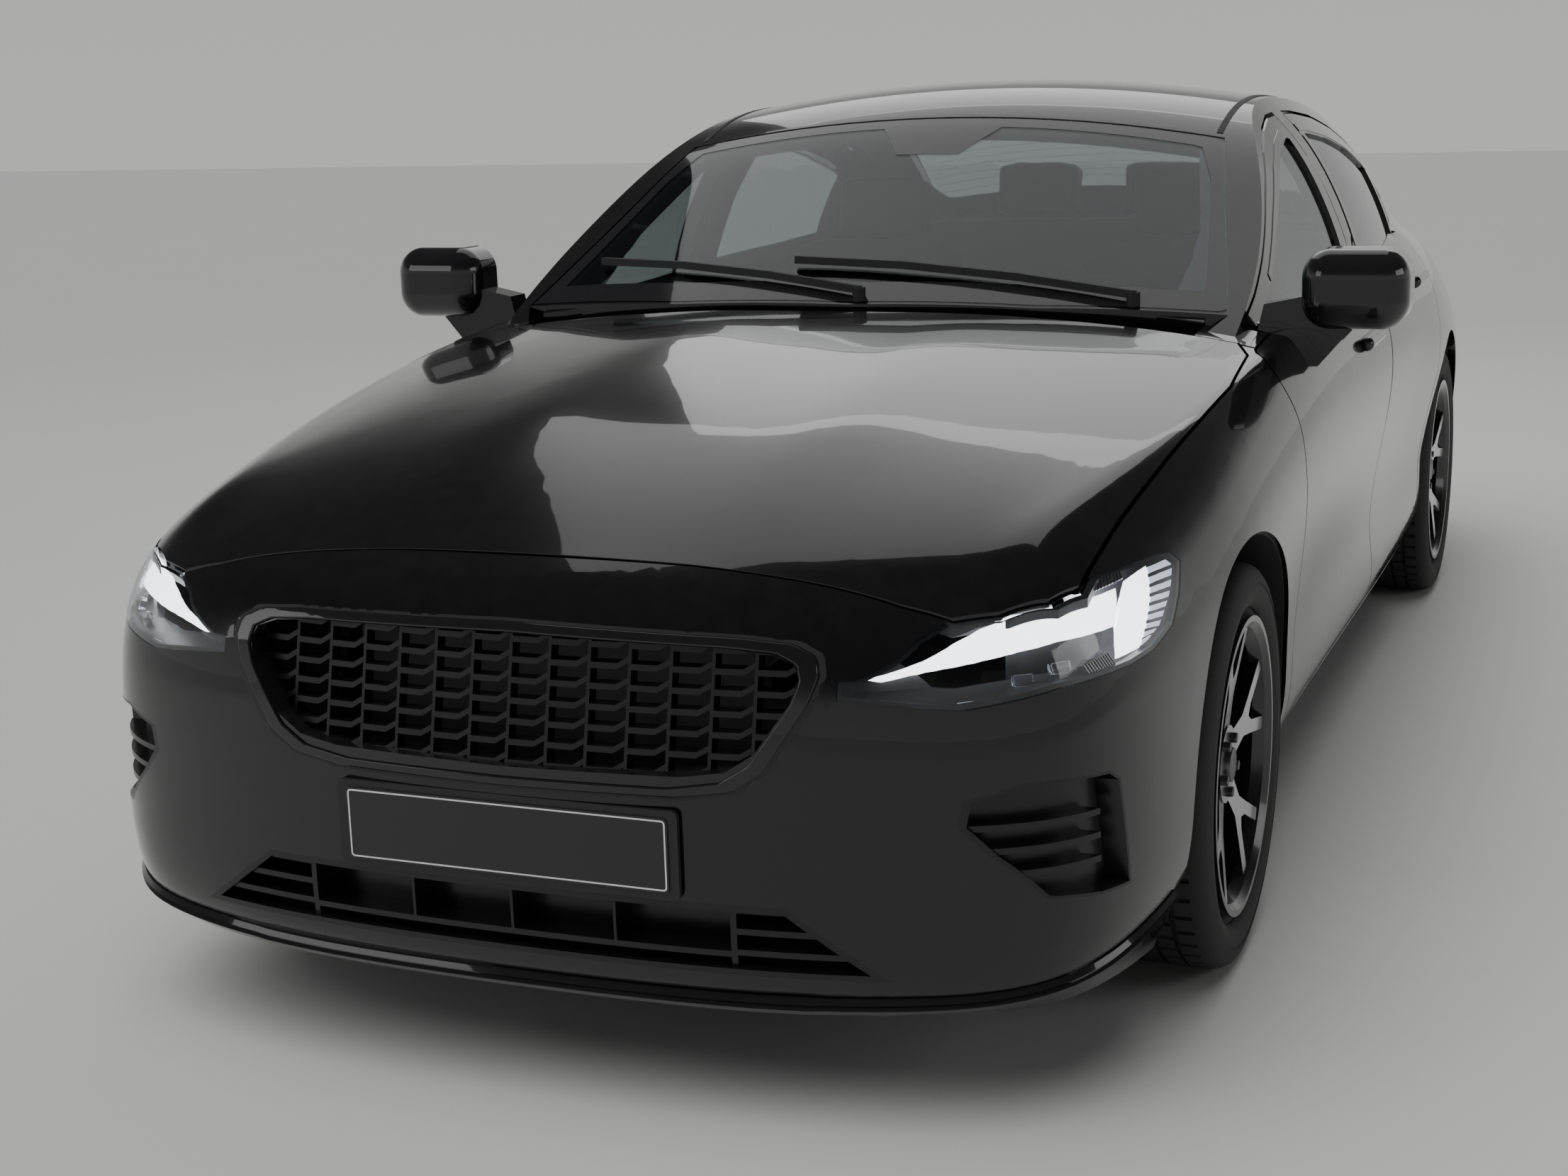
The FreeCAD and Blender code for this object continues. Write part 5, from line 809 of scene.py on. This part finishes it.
BAR_OUTER = ((0.0770, 0.4600), (0.0840, 0.4760), (0.0900, 0.4900), (0.0960, 0.5080), (0.1010, 0.5280))
EDGE_OUTER = ((0.0820, 0.4630), (0.0925, 0.4720), (0.1060, 0.4960), (0.1150, 0.5190), (0.1120, 0.5280))
UPPER_FIN = (0.0016, 0.016, 0.015)
LOWER_FIN = (0.0016, 0.016, 0.022)
FIN_EASE = 0.0003
FIN_SINK = 0.016
FIN_LEAN = 0.55
LENS_LINE_HALF = 0.0012
LENS_LINE_SINK = 0.009
LENS_LINE_WALL = 0.0012
LIGHT_SINK = 0.012
LIGHT_WALL = 0.004
RIBS = 9
RIB_ENDS = (0.2, 0.8)
RIB_SINK = 0.010
RIB_WALL = 0.003
PROJECTORS = ((0.0330, 0.4590, 0.030), (0.0430, 0.4660, 0.034), (0.0520, 0.5235, 0.030),
              (0.0610, 0.5245, 0.030))
PROJECTOR_DEEP = 0.012
PROJECTOR_TALL = 0.016
PROJECTOR_EASE = 0.003
PROJECTOR_SINK = 0.022


def comb(skin, path, count, dims, lean):
    """A row of thin fins under a lamp's lens."""
    fins = []
    for index in range(count):
        spot, normal = surface_point(skin, *aimed("side", *path_point(path, (index + 0.5) / count)))
        fin = eased_block(Vector((0, 0, 0)), dims, FIN_EASE, 1)
        fins.append(seated(fin, spot, normal, Vector((0, lean, 1)).normalized(), FIN_SINK))
    return gathered(fins)


def lamp_details():
    """What shows through the headlamp lenses: fins, projectors, a bright lower edge and ribbed ends."""
    lens = skin_of("headlamp_lenses")
    combs = gathered([comb(lens, side_path(UPPER_COMB), 13, UPPER_FIN, FIN_LEAN),
                      comb(lens, side_path(LOWER_COMB), 11, LOWER_FIN, -FIN_LEAN)])
    finished("lamp_combs", both_sides(combs), "bright", "root")
    edge = laid_mesh(lens, "side", beside(side_path(LENS_EDGE), -LENS_LINE_HALF),
                     beside(side_path(LENS_EDGE), LENS_LINE_HALF), (30, 1), -LENS_LINE_SINK, LENS_LINE_WALL)
    finished("lamp_edge_lines", both_sides(edge), "glow_soft", "root")
    arm = laid_mesh(lens, "side", side_path(ARM_LOW), side_path(ARM_HIGH), (48, 8), -LIGHT_SINK, LIGHT_WALL)
    bar = laid_mesh(lens, "side", side_path(BAR_INNER), side_path(BAR_OUTER), (30, 8), -LIGHT_SINK,
                    LIGHT_WALL)
    light = finished("daylight_lights", both_sides(gathered([arm, bar])), "glow", "root")
    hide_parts("daylight_strips")
    ribs = []
    for step in range(RIBS):
        near, far = ([path_point(side_path(line), (step + part) / RIBS) for part in RIB_ENDS]
                     for line in (BAR_OUTER, EDGE_OUTER))
        ribs.append(laid_mesh(lens, "side", near, far, (3, 6), -RIB_SINK, RIB_WALL))
    finished("lamp_outer_ribs", both_sides(gathered(ribs)), "glow_soft", "root")
    blocks = []
    for first, second, wide in PROJECTORS:
        spot, normal = surface_point(lens, *aimed("side", first * SPAN, second * TALL))
        block = eased_block(Vector((0, 0, 0)), (wide, PROJECTOR_DEEP, PROJECTOR_TALL), PROJECTOR_EASE)
        blocks.append(seated(block, spot, normal, Vector((0, 0, 1)), PROJECTOR_SINK))
    finished("lamp_projectors", both_sides(gathered(blocks)), "crystal", "root")


TAIL_BARS = (((0.500, 0.560), (0.620, 0.575), (0.760, 0.590), (0.850, 0.600)),
             ((0.500, 0.530), (0.640, 0.532), (0.780, 0.535), (0.870, 0.545)))
TAIL_BAR_WIDTH = 0.012
TAIL_BAR_STAND = 0.0006
REFLECTOR = ((0.470, 0.330), (0.640, 0.330))
REFLECTOR_WIDTH = 0.022
REFLECTOR_LIFT = 0.0010
REFLECTOR_WALL = 0.0012


def tail_details():
    """Lit bars in the tail lamps, and reflectors low in the bumper."""
    lamp = skin_of("tail_lamps")
    for number, bar in enumerate(TAIL_BARS):
        for word, side in SIDES:
            strip("tail_bar_%d_%s" % (number, word), lamp, "rear", end_path(bar), TAIL_BAR_WIDTH,
                  TAIL_BAR_STAND, TAIL_BAR_STAND, "red_glow", "root", side, 24)
    bumper = skin_of("rear_bumper")
    for word, side in SIDES:
        strip("rear_reflector_" + word, bumper, "rear", REFLECTOR, REFLECTOR_WIDTH, REFLECTOR_LIFT,
              REFLECTOR_WALL, "red_solid", "root", side, 20)


PIPE_RADIUS = 0.042
PIPE_WIDER = 1.7
PIPE_FLATTER = 0.8
PIPE_PLACE = (0.52, HALF_LENGTH - 0.098, 0.176)
PIPE_LONG = 0.14
PIPE_WALL = 0.003


def tail_pipes():
    """Two flat-oval outlets set in the rear bumper's foot."""
    for word, side in SIDES:
        ring = bmesh.new()
        bmesh.ops.create_circle(ring, cap_ends=False, segments=40, radius=PIPE_RADIUS)
        bmesh.ops.scale(ring, vec=(PIPE_WIDER, 1, 1), verts=ring.verts)
        bmesh.ops.rotate(ring, cent=(0, 0, 0), matrix=Matrix.Rotation(QUARTER_TURN, 3, "X"),
                         verts=ring.verts)
        bmesh.ops.scale(ring, vec=(1, 1, PIPE_FLATTER), verts=ring.verts)
        bmesh.ops.translate(ring, vec=(side * PIPE_PLACE[0], PIPE_PLACE[1], PIPE_PLACE[2]), verts=ring.verts)
        wall = bmesh.ops.extrude_edge_only(ring, edges=ring.edges[:])
        moved = [part for part in wall["geom"] if isinstance(part, bmesh.types.BMVert)]
        bmesh.ops.translate(ring, vec=(0, -PIPE_LONG, 0), verts=moved)
        bmesh.ops.recalc_face_normals(ring, faces=ring.faces)
        bmesh.ops.solidify(ring, geom=ring.faces[:], thickness=PIPE_WALL)
        finished("tail_pipe_" + word, ring, "bright", "root")


# Wheels


TREAD_HALF = (
    (0.0160, 0.3350), (0.0168, 0.3285), (0.0232, 0.3285), (0.0240, 0.3350),
    (0.0500, 0.3350), (0.0508, 0.3285),     (0.0572, 0.3285), (0.0580, 0.3350), (0.0860, 0.3346),
    (0.0970, 0.3318), (0.1060, 0.3262), (0.1128, 0.3168),     (0.1168, 0.3030), (0.1172, 0.3015),
    (0.1150, 0.3000), (0.1172, 0.2930), (0.1158, 0.2830), (0.1110, 0.2712),     (0.1040, 0.2610),
    (0.0990, 0.2600), (0.0965, 0.2530), (0.0940, 0.2482),
)
TYRE_STEPS = 216
TREAD_FACE = 0.333
SHOULDER_BAND = (0.058, 0.086)
INNER_BAND = (0.024, 0.050)
SIPE_EVERY = 4
SIPE_MARGIN = 0.0018
SIPE_DEPTH = 0.005


def tyre(word, end, station, side, body):
    """A road tyre: grooved and siped tread, rounded shoulders and a rim guard."""
    ring = bmesh.new()
    centre = Vector((side * WHEEL_MIDDLE, station - HALF_LENGTH, AXLE_RISE))
    profile = [(-x, radius) for x, radius in reversed(TREAD_HALF)] + list(TREAD_HALF)
    verts = [ring.verts.new(centre + Vector((x, 0, radius))) for x, radius in profile]
    edges = [ring.edges.new(pair) for pair in zip(verts, verts[1:] + verts[:1])]
    bmesh.ops.spin(ring, geom=verts + edges, cent=centre, axis=(1, 0, 0), angle=math.tau, steps=TYRE_STEPS,
                   use_merge=True)
    bmesh.ops.remove_doubles(ring, verts=ring.verts, dist=MERGE)
    bmesh.ops.recalc_face_normals(ring, faces=ring.faces)
    picked = []
    for part in ring.faces:
        place = part.calc_center_median() - centre
        if math.hypot(place.y, place.z) < TREAD_FACE:
            continue
        step = int((math.atan2(place.y, place.z) / math.tau + 0.5) * TYRE_STEPS) % SIPE_EVERY
        shoulder = SHOULDER_BAND[0] < abs(place.x) < SHOULDER_BAND[1] and step == 0
        inner = INNER_BAND[0] < abs(place.x) < INNER_BAND[1] and step == SIPE_EVERY // 2
        if shoulder or inner:
            picked.append(part)
    bmesh.ops.inset_individual(ring, faces=picked, thickness=SIPE_MARGIN, depth=-SIPE_DEPTH)
    piece = finished("%s_tread_%s" % (end, word), ring, "rubber", body, 50)
    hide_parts("%s_tyre_%s" % (end, word))


HUB_FACE = 0.0827
HUB_STAND = 0.003
HUB_EASE = 0.0009
CAP = {"segments": 48, "radius1": 0.031, "radius2": 0.028, "depth": 0.012}
BOLT = {"segments": 6, "radius1": 0.0095, "radius2": 0.0088, "depth": 0.014}
BOLTS = 5
BOLT_CIRCLE = 0.047


def hub_parts(word, end, station, side, body):
    """Five bolts round a plain centre cap."""
    places = [(CAP, Vector((0, 0, 0)))]
    for index in range(BOLTS):
        angle = math.tau * (index + 0.5) / BOLTS
        places.append((BOLT, Vector((0, math.sin(angle) * BOLT_CIRCLE, math.cos(angle) * BOLT_CIRCLE))))
    face = side * (WHEEL_MIDDLE + HUB_FACE) + side * HUB_STAND
    made = []
    for dims, place in places:
        shape = bmesh.new()
        bmesh.ops.create_cone(shape, cap_ends=True, **dims)
        bmesh.ops.bevel(shape, geom=shape.edges[:], offset=HUB_EASE, offset_type="OFFSET", segments=2,
                        profile=0.5, affect="EDGES", material=-1)
        bmesh.ops.rotate(shape, cent=(0, 0, 0), matrix=Matrix.Rotation(QUARTER_TURN * side, 3, "Y"),
                         verts=shape.verts)
        bmesh.ops.translate(shape, vec=place + Vector((face, station - HALF_LENGTH, AXLE_RISE)),
                            verts=shape.verts)
        made.append(shape)
    finished("%s_hub_%s" % (end, word), gathered(made), "satin_steel", body)


def wheels():
    """A tyre and a hub on each of the four wheels."""
    for end, station in (("front", FRONT_AXLE), ("rear", REAR_AXLE)):
        for word, side in SIDES:
            body = "%s_wheel_%s" % (end, word)
            tyre(word, end, station, side, body)
            hub_parts(word, end, station, side, body)


# Cabin


SEAM_SPREAD = 0.6
SEAM_WIDTH = 0.05
SEAM_DEPTH = 0.10


def cushion(middle, dims, lean=0.0, pinch=0.35, crown=0.12, seams=3):
    """A padded form: crowned faces, sides that pull in between the corners, and sewn channels."""
    shape = bmesh.new()
    bmesh.ops.create_cube(shape, size=1.0)
    bmesh.ops.subdivide_edges(shape, edges=shape.edges[:], cuts=7, use_grid_fill=True)
    for vert in shape.verts:
        x, y, z = vert.co * 2
        sides = (1 - abs(x) ** 4) * (1 - abs(y) ** 4)
        lift = crown * sides * abs(z)
        pull = 1 - pinch * 0.12 * (1 - z * z) * (abs(x) ** 6 + abs(y) ** 6)
        round_off = 1 - 0.05 * (abs(x * y) ** 8 + abs(y * z) ** 8 + abs(x * z) ** 8)
        groove = 0.0
        for seam in range(seams):
            at = -SEAM_SPREAD + 2 * SEAM_SPREAD * (seam + 0.5) / seams
            groove = max(groove, math.exp(-((y - at) / SEAM_WIDTH) ** 2))
        top = max(z, 0.0) ** 4 * (1 - abs(x) ** 6)
        rise = z * round_off * (1 - crown * 0.6) + math.copysign(lift, z) * 0.5 - groove * top * SEAM_DEPTH
        vert.co = Vector((x * pull * round_off, y * pull * round_off, rise)) / 2
    bmesh.ops.scale(shape, vec=dims, verts=shape.verts)
    bmesh.ops.rotate(shape, cent=(0, 0, 0), matrix=Matrix.Rotation(lean, 3, "X"), verts=shape.verts)
    bmesh.ops.translate(shape, vec=middle, verts=shape.verts)
    return shape


SEAT_FOOT = 0.215
# Places along the car and up from a seat's front foot, and sizes, of its cushion, back and head rest.
CUSHION_PLACE = (0.257, 0.215)
BACK_PLACE = (0.627, 0.530)
REST_PLACE = (0.771, 0.906)
CUSHION_DIMS = (0.500, 0.142)
BACK_DIMS = (0.640, 0.112)
REST_DIMS = (0.230, 0.102, 0.150)
BACK_LEAN = math.radians(-22.7)
REST_LEAN = math.radians(-12)
FRONT_SEAT_ASIDE = 0.379
FRONT_SEAT_STATION = 2.0234
FRONT_SEAT_HALF = 0.259
BENCH_STATION = 2.7614
BENCH_HALF = 0.640
BENCH_REST_ASIDE = 0.180


def seat_pieces(name, x, station, half_width, rests):
    """The cushion, back and head rests of a seat, inside the space of its plain solid."""
    def place(across, spot):
        return Vector((across, station - HALF_LENGTH + spot[0], SEAT_FOOT + spot[1]))

    parts = [("cushion", cushion(place(x, CUSHION_PLACE), (half_width * 2, *CUSHION_DIMS)), 0.9),
             ("back",
              cushion(place(x, BACK_PLACE), (half_width * 1.90, *BACK_DIMS), QUARTER_TURN + BACK_LEAN), 0.9)]
    for rest in rests:
        parts.append(("head_rest_%d" % len(parts),
                      cushion(place(x + rest, REST_PLACE), REST_DIMS, REST_LEAN, seams=1), 0.95))
    made = []
    for label, shape, fill in parts:
        piece = finished("%s_%s" % (name, label), shape, "hide", "root", 180)
        smooth = piece.modifiers.new("smooth", "SUBSURF")
        smooth.levels = 2
        smooth.render_levels = 2
        made.append(piece)
    return made


def seats():
    """Two front seats and the rear bench."""
    front = []
    for word, side in SIDES:
        front += seat_pieces("front_seat_" + word, side * FRONT_SEAT_ASIDE, FRONT_SEAT_STATION,
                             FRONT_SEAT_HALF, (0.0,))
    for piece in front:
        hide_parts("front_seats")
    for piece in seat_pieces("rear_bench", 0.0, BENCH_STATION, BENCH_HALF,
                             (-BENCH_REST_ASIDE, BENCH_REST_ASIDE)):
        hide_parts("rear_seat")


MIRROR_MIDDLE = 1.040 * HALF_WIDE
MIRROR_GLASS_HALF = 0.078
MIRROR_GLASS_RISE = (0.990, 1.106)
MIRROR_GLASS_STAND = 0.0008


def mirror_glasses():
    """The reflecting pane in the back of each mirror head."""
    for word, side in SIDES:
        low, high = ([(MIRROR_MIDDLE - MIRROR_GLASS_HALF, rise), (MIRROR_MIDDLE + MIRROR_GLASS_HALF, rise)]
                     for rise in MIRROR_GLASS_RISE)
        laid("mirror_glass_" + word, skin_of("mirror_" + word), "rear", low, high, (10, 8),
             MIRROR_GLASS_STAND, MIRROR_GLASS_STAND, "silvered", "front_door_body_" + word,
             side)


DISPLAYS = (("centre_display", (-0.085, 0.085), (0.690, 0.900), (8, 10)),
            ("driver_display", (0.250, 0.510), (0.810, 0.905), (10, 6)))
DISPLAY_STAND = 0.004


def displays():
    """The two screens on the dashboard."""
    dash = skin_of("dashboard")
    for name, across, rises, grid in DISPLAYS:
        low, high = ([(x, rise) for x in across] for rise in rises)
        laid(name, dash, "rear", low, high, grid, DISPLAY_STAND, DISPLAY_STAND, "gloss", "root")


glass_edges()
roof_strips()
door_trim()
sill_highlight_strips()
wheelhouse_walls()
rear_jambs()
lip("front_lip", skin_of("front_bumper"), (199, 341), -HALF_LENGTH + LIP_CENTRE, FRONT_LIP_LINE, "gloss")
lip("rear_apron", skin_of("rear_bumper"), (20, 160), HALF_LENGTH - LIP_CENTRE, REAR_LIP_LINE, "mesh")
plate("front_plate", -HALF_LENGTH - PLATE_LIFT, 0.352, 1)
plate("rear_plate", HALF_LENGTH + PLATE_LIFT, 0.440, -1)
grille_surround()
lamp_details()
tail_details()
tail_pipes()
wheels()
seats()
mirror_glasses()
displays()

# Floor, light, camera


FLOOR_REACH = 30.0
FLOOR_TONE = (0.66, 0.655, 0.645, 1.0)


def studio_material(name, color, roughness):
    """A plain matt surface with a slow unevenness."""
    material, tree, shader = bare_material(name, color, roughness)
    darker = tuple(part * 0.96 for part in color[:3]) + (1.0,)
    blended_color(tree, shader, color, darker, noise(tree, 1.2, 3.0))
    return material


def floor_sheet():
    """A wide pale floor."""
    mesh = bmesh.new()
    corners = ((-1, -1), (1, -1), (1, 1), (-1, 1))
    mesh.faces.new([mesh.verts.new((x * FLOOR_REACH, y * FLOOR_REACH, 0.0)) for x, y in corners])
    data = bpy.data.meshes.new("floor")
    mesh.to_mesh(data)
    mesh.free()
    sheet = bpy.data.objects.new("floor", data)
    bpy.context.scene.collection.objects.link(sheet)
    data.materials.append(studio_material("pale_floor", FLOOR_TONE, 0.6))


# Name, place, aim, width, height and power of each panel.
PANELS = (("ceiling_panel", (-0.6, 1.9, 4.6), (-0.2, -0.6, 0.6), 4.4, 3.2, 34.0),
          ("rear_panel", (-0.9, 6.0, 4.4), (0.0, -1.2, 0.8), 5.6, 2.2, 46.0),
          ("front_fill", (-4.5, -6.0, 3.2), (0.0, -1.4, 0.6), 3.0, 2.4, 40.0),
          ("side_fill", (6.5, -1.0, 2.8), (0.6, -0.4, 0.6), 4.0, 1.6, 40.0))


def soft_light(name, place, aim, wide, tall, power):
    """An area light that faces a point."""
    lamp = bpy.data.lights.new(name, "AREA")
    lamp.shape = "RECTANGLE"
    lamp.size = wide
    lamp.size_y = tall
    lamp.energy = power
    holder = bpy.data.objects.new(name, lamp)
    bpy.context.scene.collection.objects.link(holder)
    holder.location = place
    holder.rotation_euler = (Vector(aim) - Vector(place)).to_track_quat("-Z", "Y").to_euler()


WALL_FOOT_TONE = (0.60, 0.60, 0.59, 1.0)
CEILING_TONE = (0.04, 0.04, 0.045, 1.0)
CEILING_RISE = 0.62
WALL_TONES = ((0.16, 0.55), (0.30, 0.16), (0.42, 0.07))
ROOM_STRENGTH = 0.9


def backdrop():
    """Light from all round: pale walls, a darker ceiling."""
    world = bpy.data.worlds.new("studio")
    world.use_nodes = True
    tree = world.node_tree
    place = tree.nodes.new("ShaderNodeTexCoord")
    parts = tree.nodes.new("ShaderNodeSeparateXYZ")
    ramp = tree.nodes.new("ShaderNodeValToRGB")
    ramp.color_ramp.elements[0].position = 0.0
    ramp.color_ramp.elements[0].color = WALL_FOOT_TONE
    ramp.color_ramp.elements[1].position = CEILING_RISE
    ramp.color_ramp.elements[1].color = CEILING_TONE
    for rise, tone in WALL_TONES:
        ramp.color_ramp.elements.new(rise).color = (tone, tone, tone * 0.99, 1.0)
    tree.links.new(place.outputs["Generated"], parts.inputs[0])
    tree.links.new(parts.outputs["Z"], ramp.inputs["Fac"])
    tree.links.new(ramp.outputs["Color"], tree.nodes["Background"].inputs["Color"])
    tree.nodes["Background"].inputs["Strength"].default_value = ROOM_STRENGTH
    bpy.context.scene.world = world


CAMERA_PLACE = (1.558947, -5.120923, 1.474538)
CAMERA_TURN = (-0.3856455, -0.2235235, -0.0296767)
FOCAL_PIXELS = 3224.06
PHOTO_WIDTH = 2212
SENSOR = 36.0


def photo_camera():
    """The camera where the photograph was taken from: yaw, pitch and roll in radians."""
    yaw, pitch, roll = CAMERA_TURN
    ahead = Vector((math.sin(yaw) * math.cos(pitch), math.cos(yaw) * math.cos(pitch), math.sin(pitch)))
    level = Vector((math.cos(yaw), -math.sin(yaw), 0.0))
    upright = level.cross(ahead)
    right = level * math.cos(roll) + upright * math.sin(roll)
    up = upright * math.cos(roll) - level * math.sin(roll)
    lens = bpy.data.cameras.new("camera")
    lens.sensor_width = SENSOR
    lens.lens = FOCAL_PIXELS / PHOTO_WIDTH * SENSOR
    camera = bpy.data.objects.new("camera", lens)
    turn = Matrix((right, up, -ahead)).transposed().to_4x4()
    camera.matrix_world = Matrix.Translation(CAMERA_PLACE) @ turn
    bpy.context.scene.collection.objects.link(camera)
    bpy.context.scene.camera = camera


DAYLIGHT_POWER = 2.3
DAYLIGHT_SPREAD = math.radians(70)
DAYLIGHT_TURN = (math.radians(18), math.radians(-12), 0)


def daylight():
    """Even light on the floor, kept out of the gloss."""
    lamp = bpy.data.lights.new("even_light", "SUN")
    lamp.energy = DAYLIGHT_POWER
    lamp.angle = DAYLIGHT_SPREAD
    holder = bpy.data.objects.new("even_light", lamp)
    holder.rotation_euler = DAYLIGHT_TURN
    holder.visible_glossy = False
    holder.visible_transmission = False
    bpy.context.scene.collection.objects.link(holder)


floor_sheet()
backdrop()
daylight()
for panel in PANELS:
    soft_light(*panel)
photo_camera()
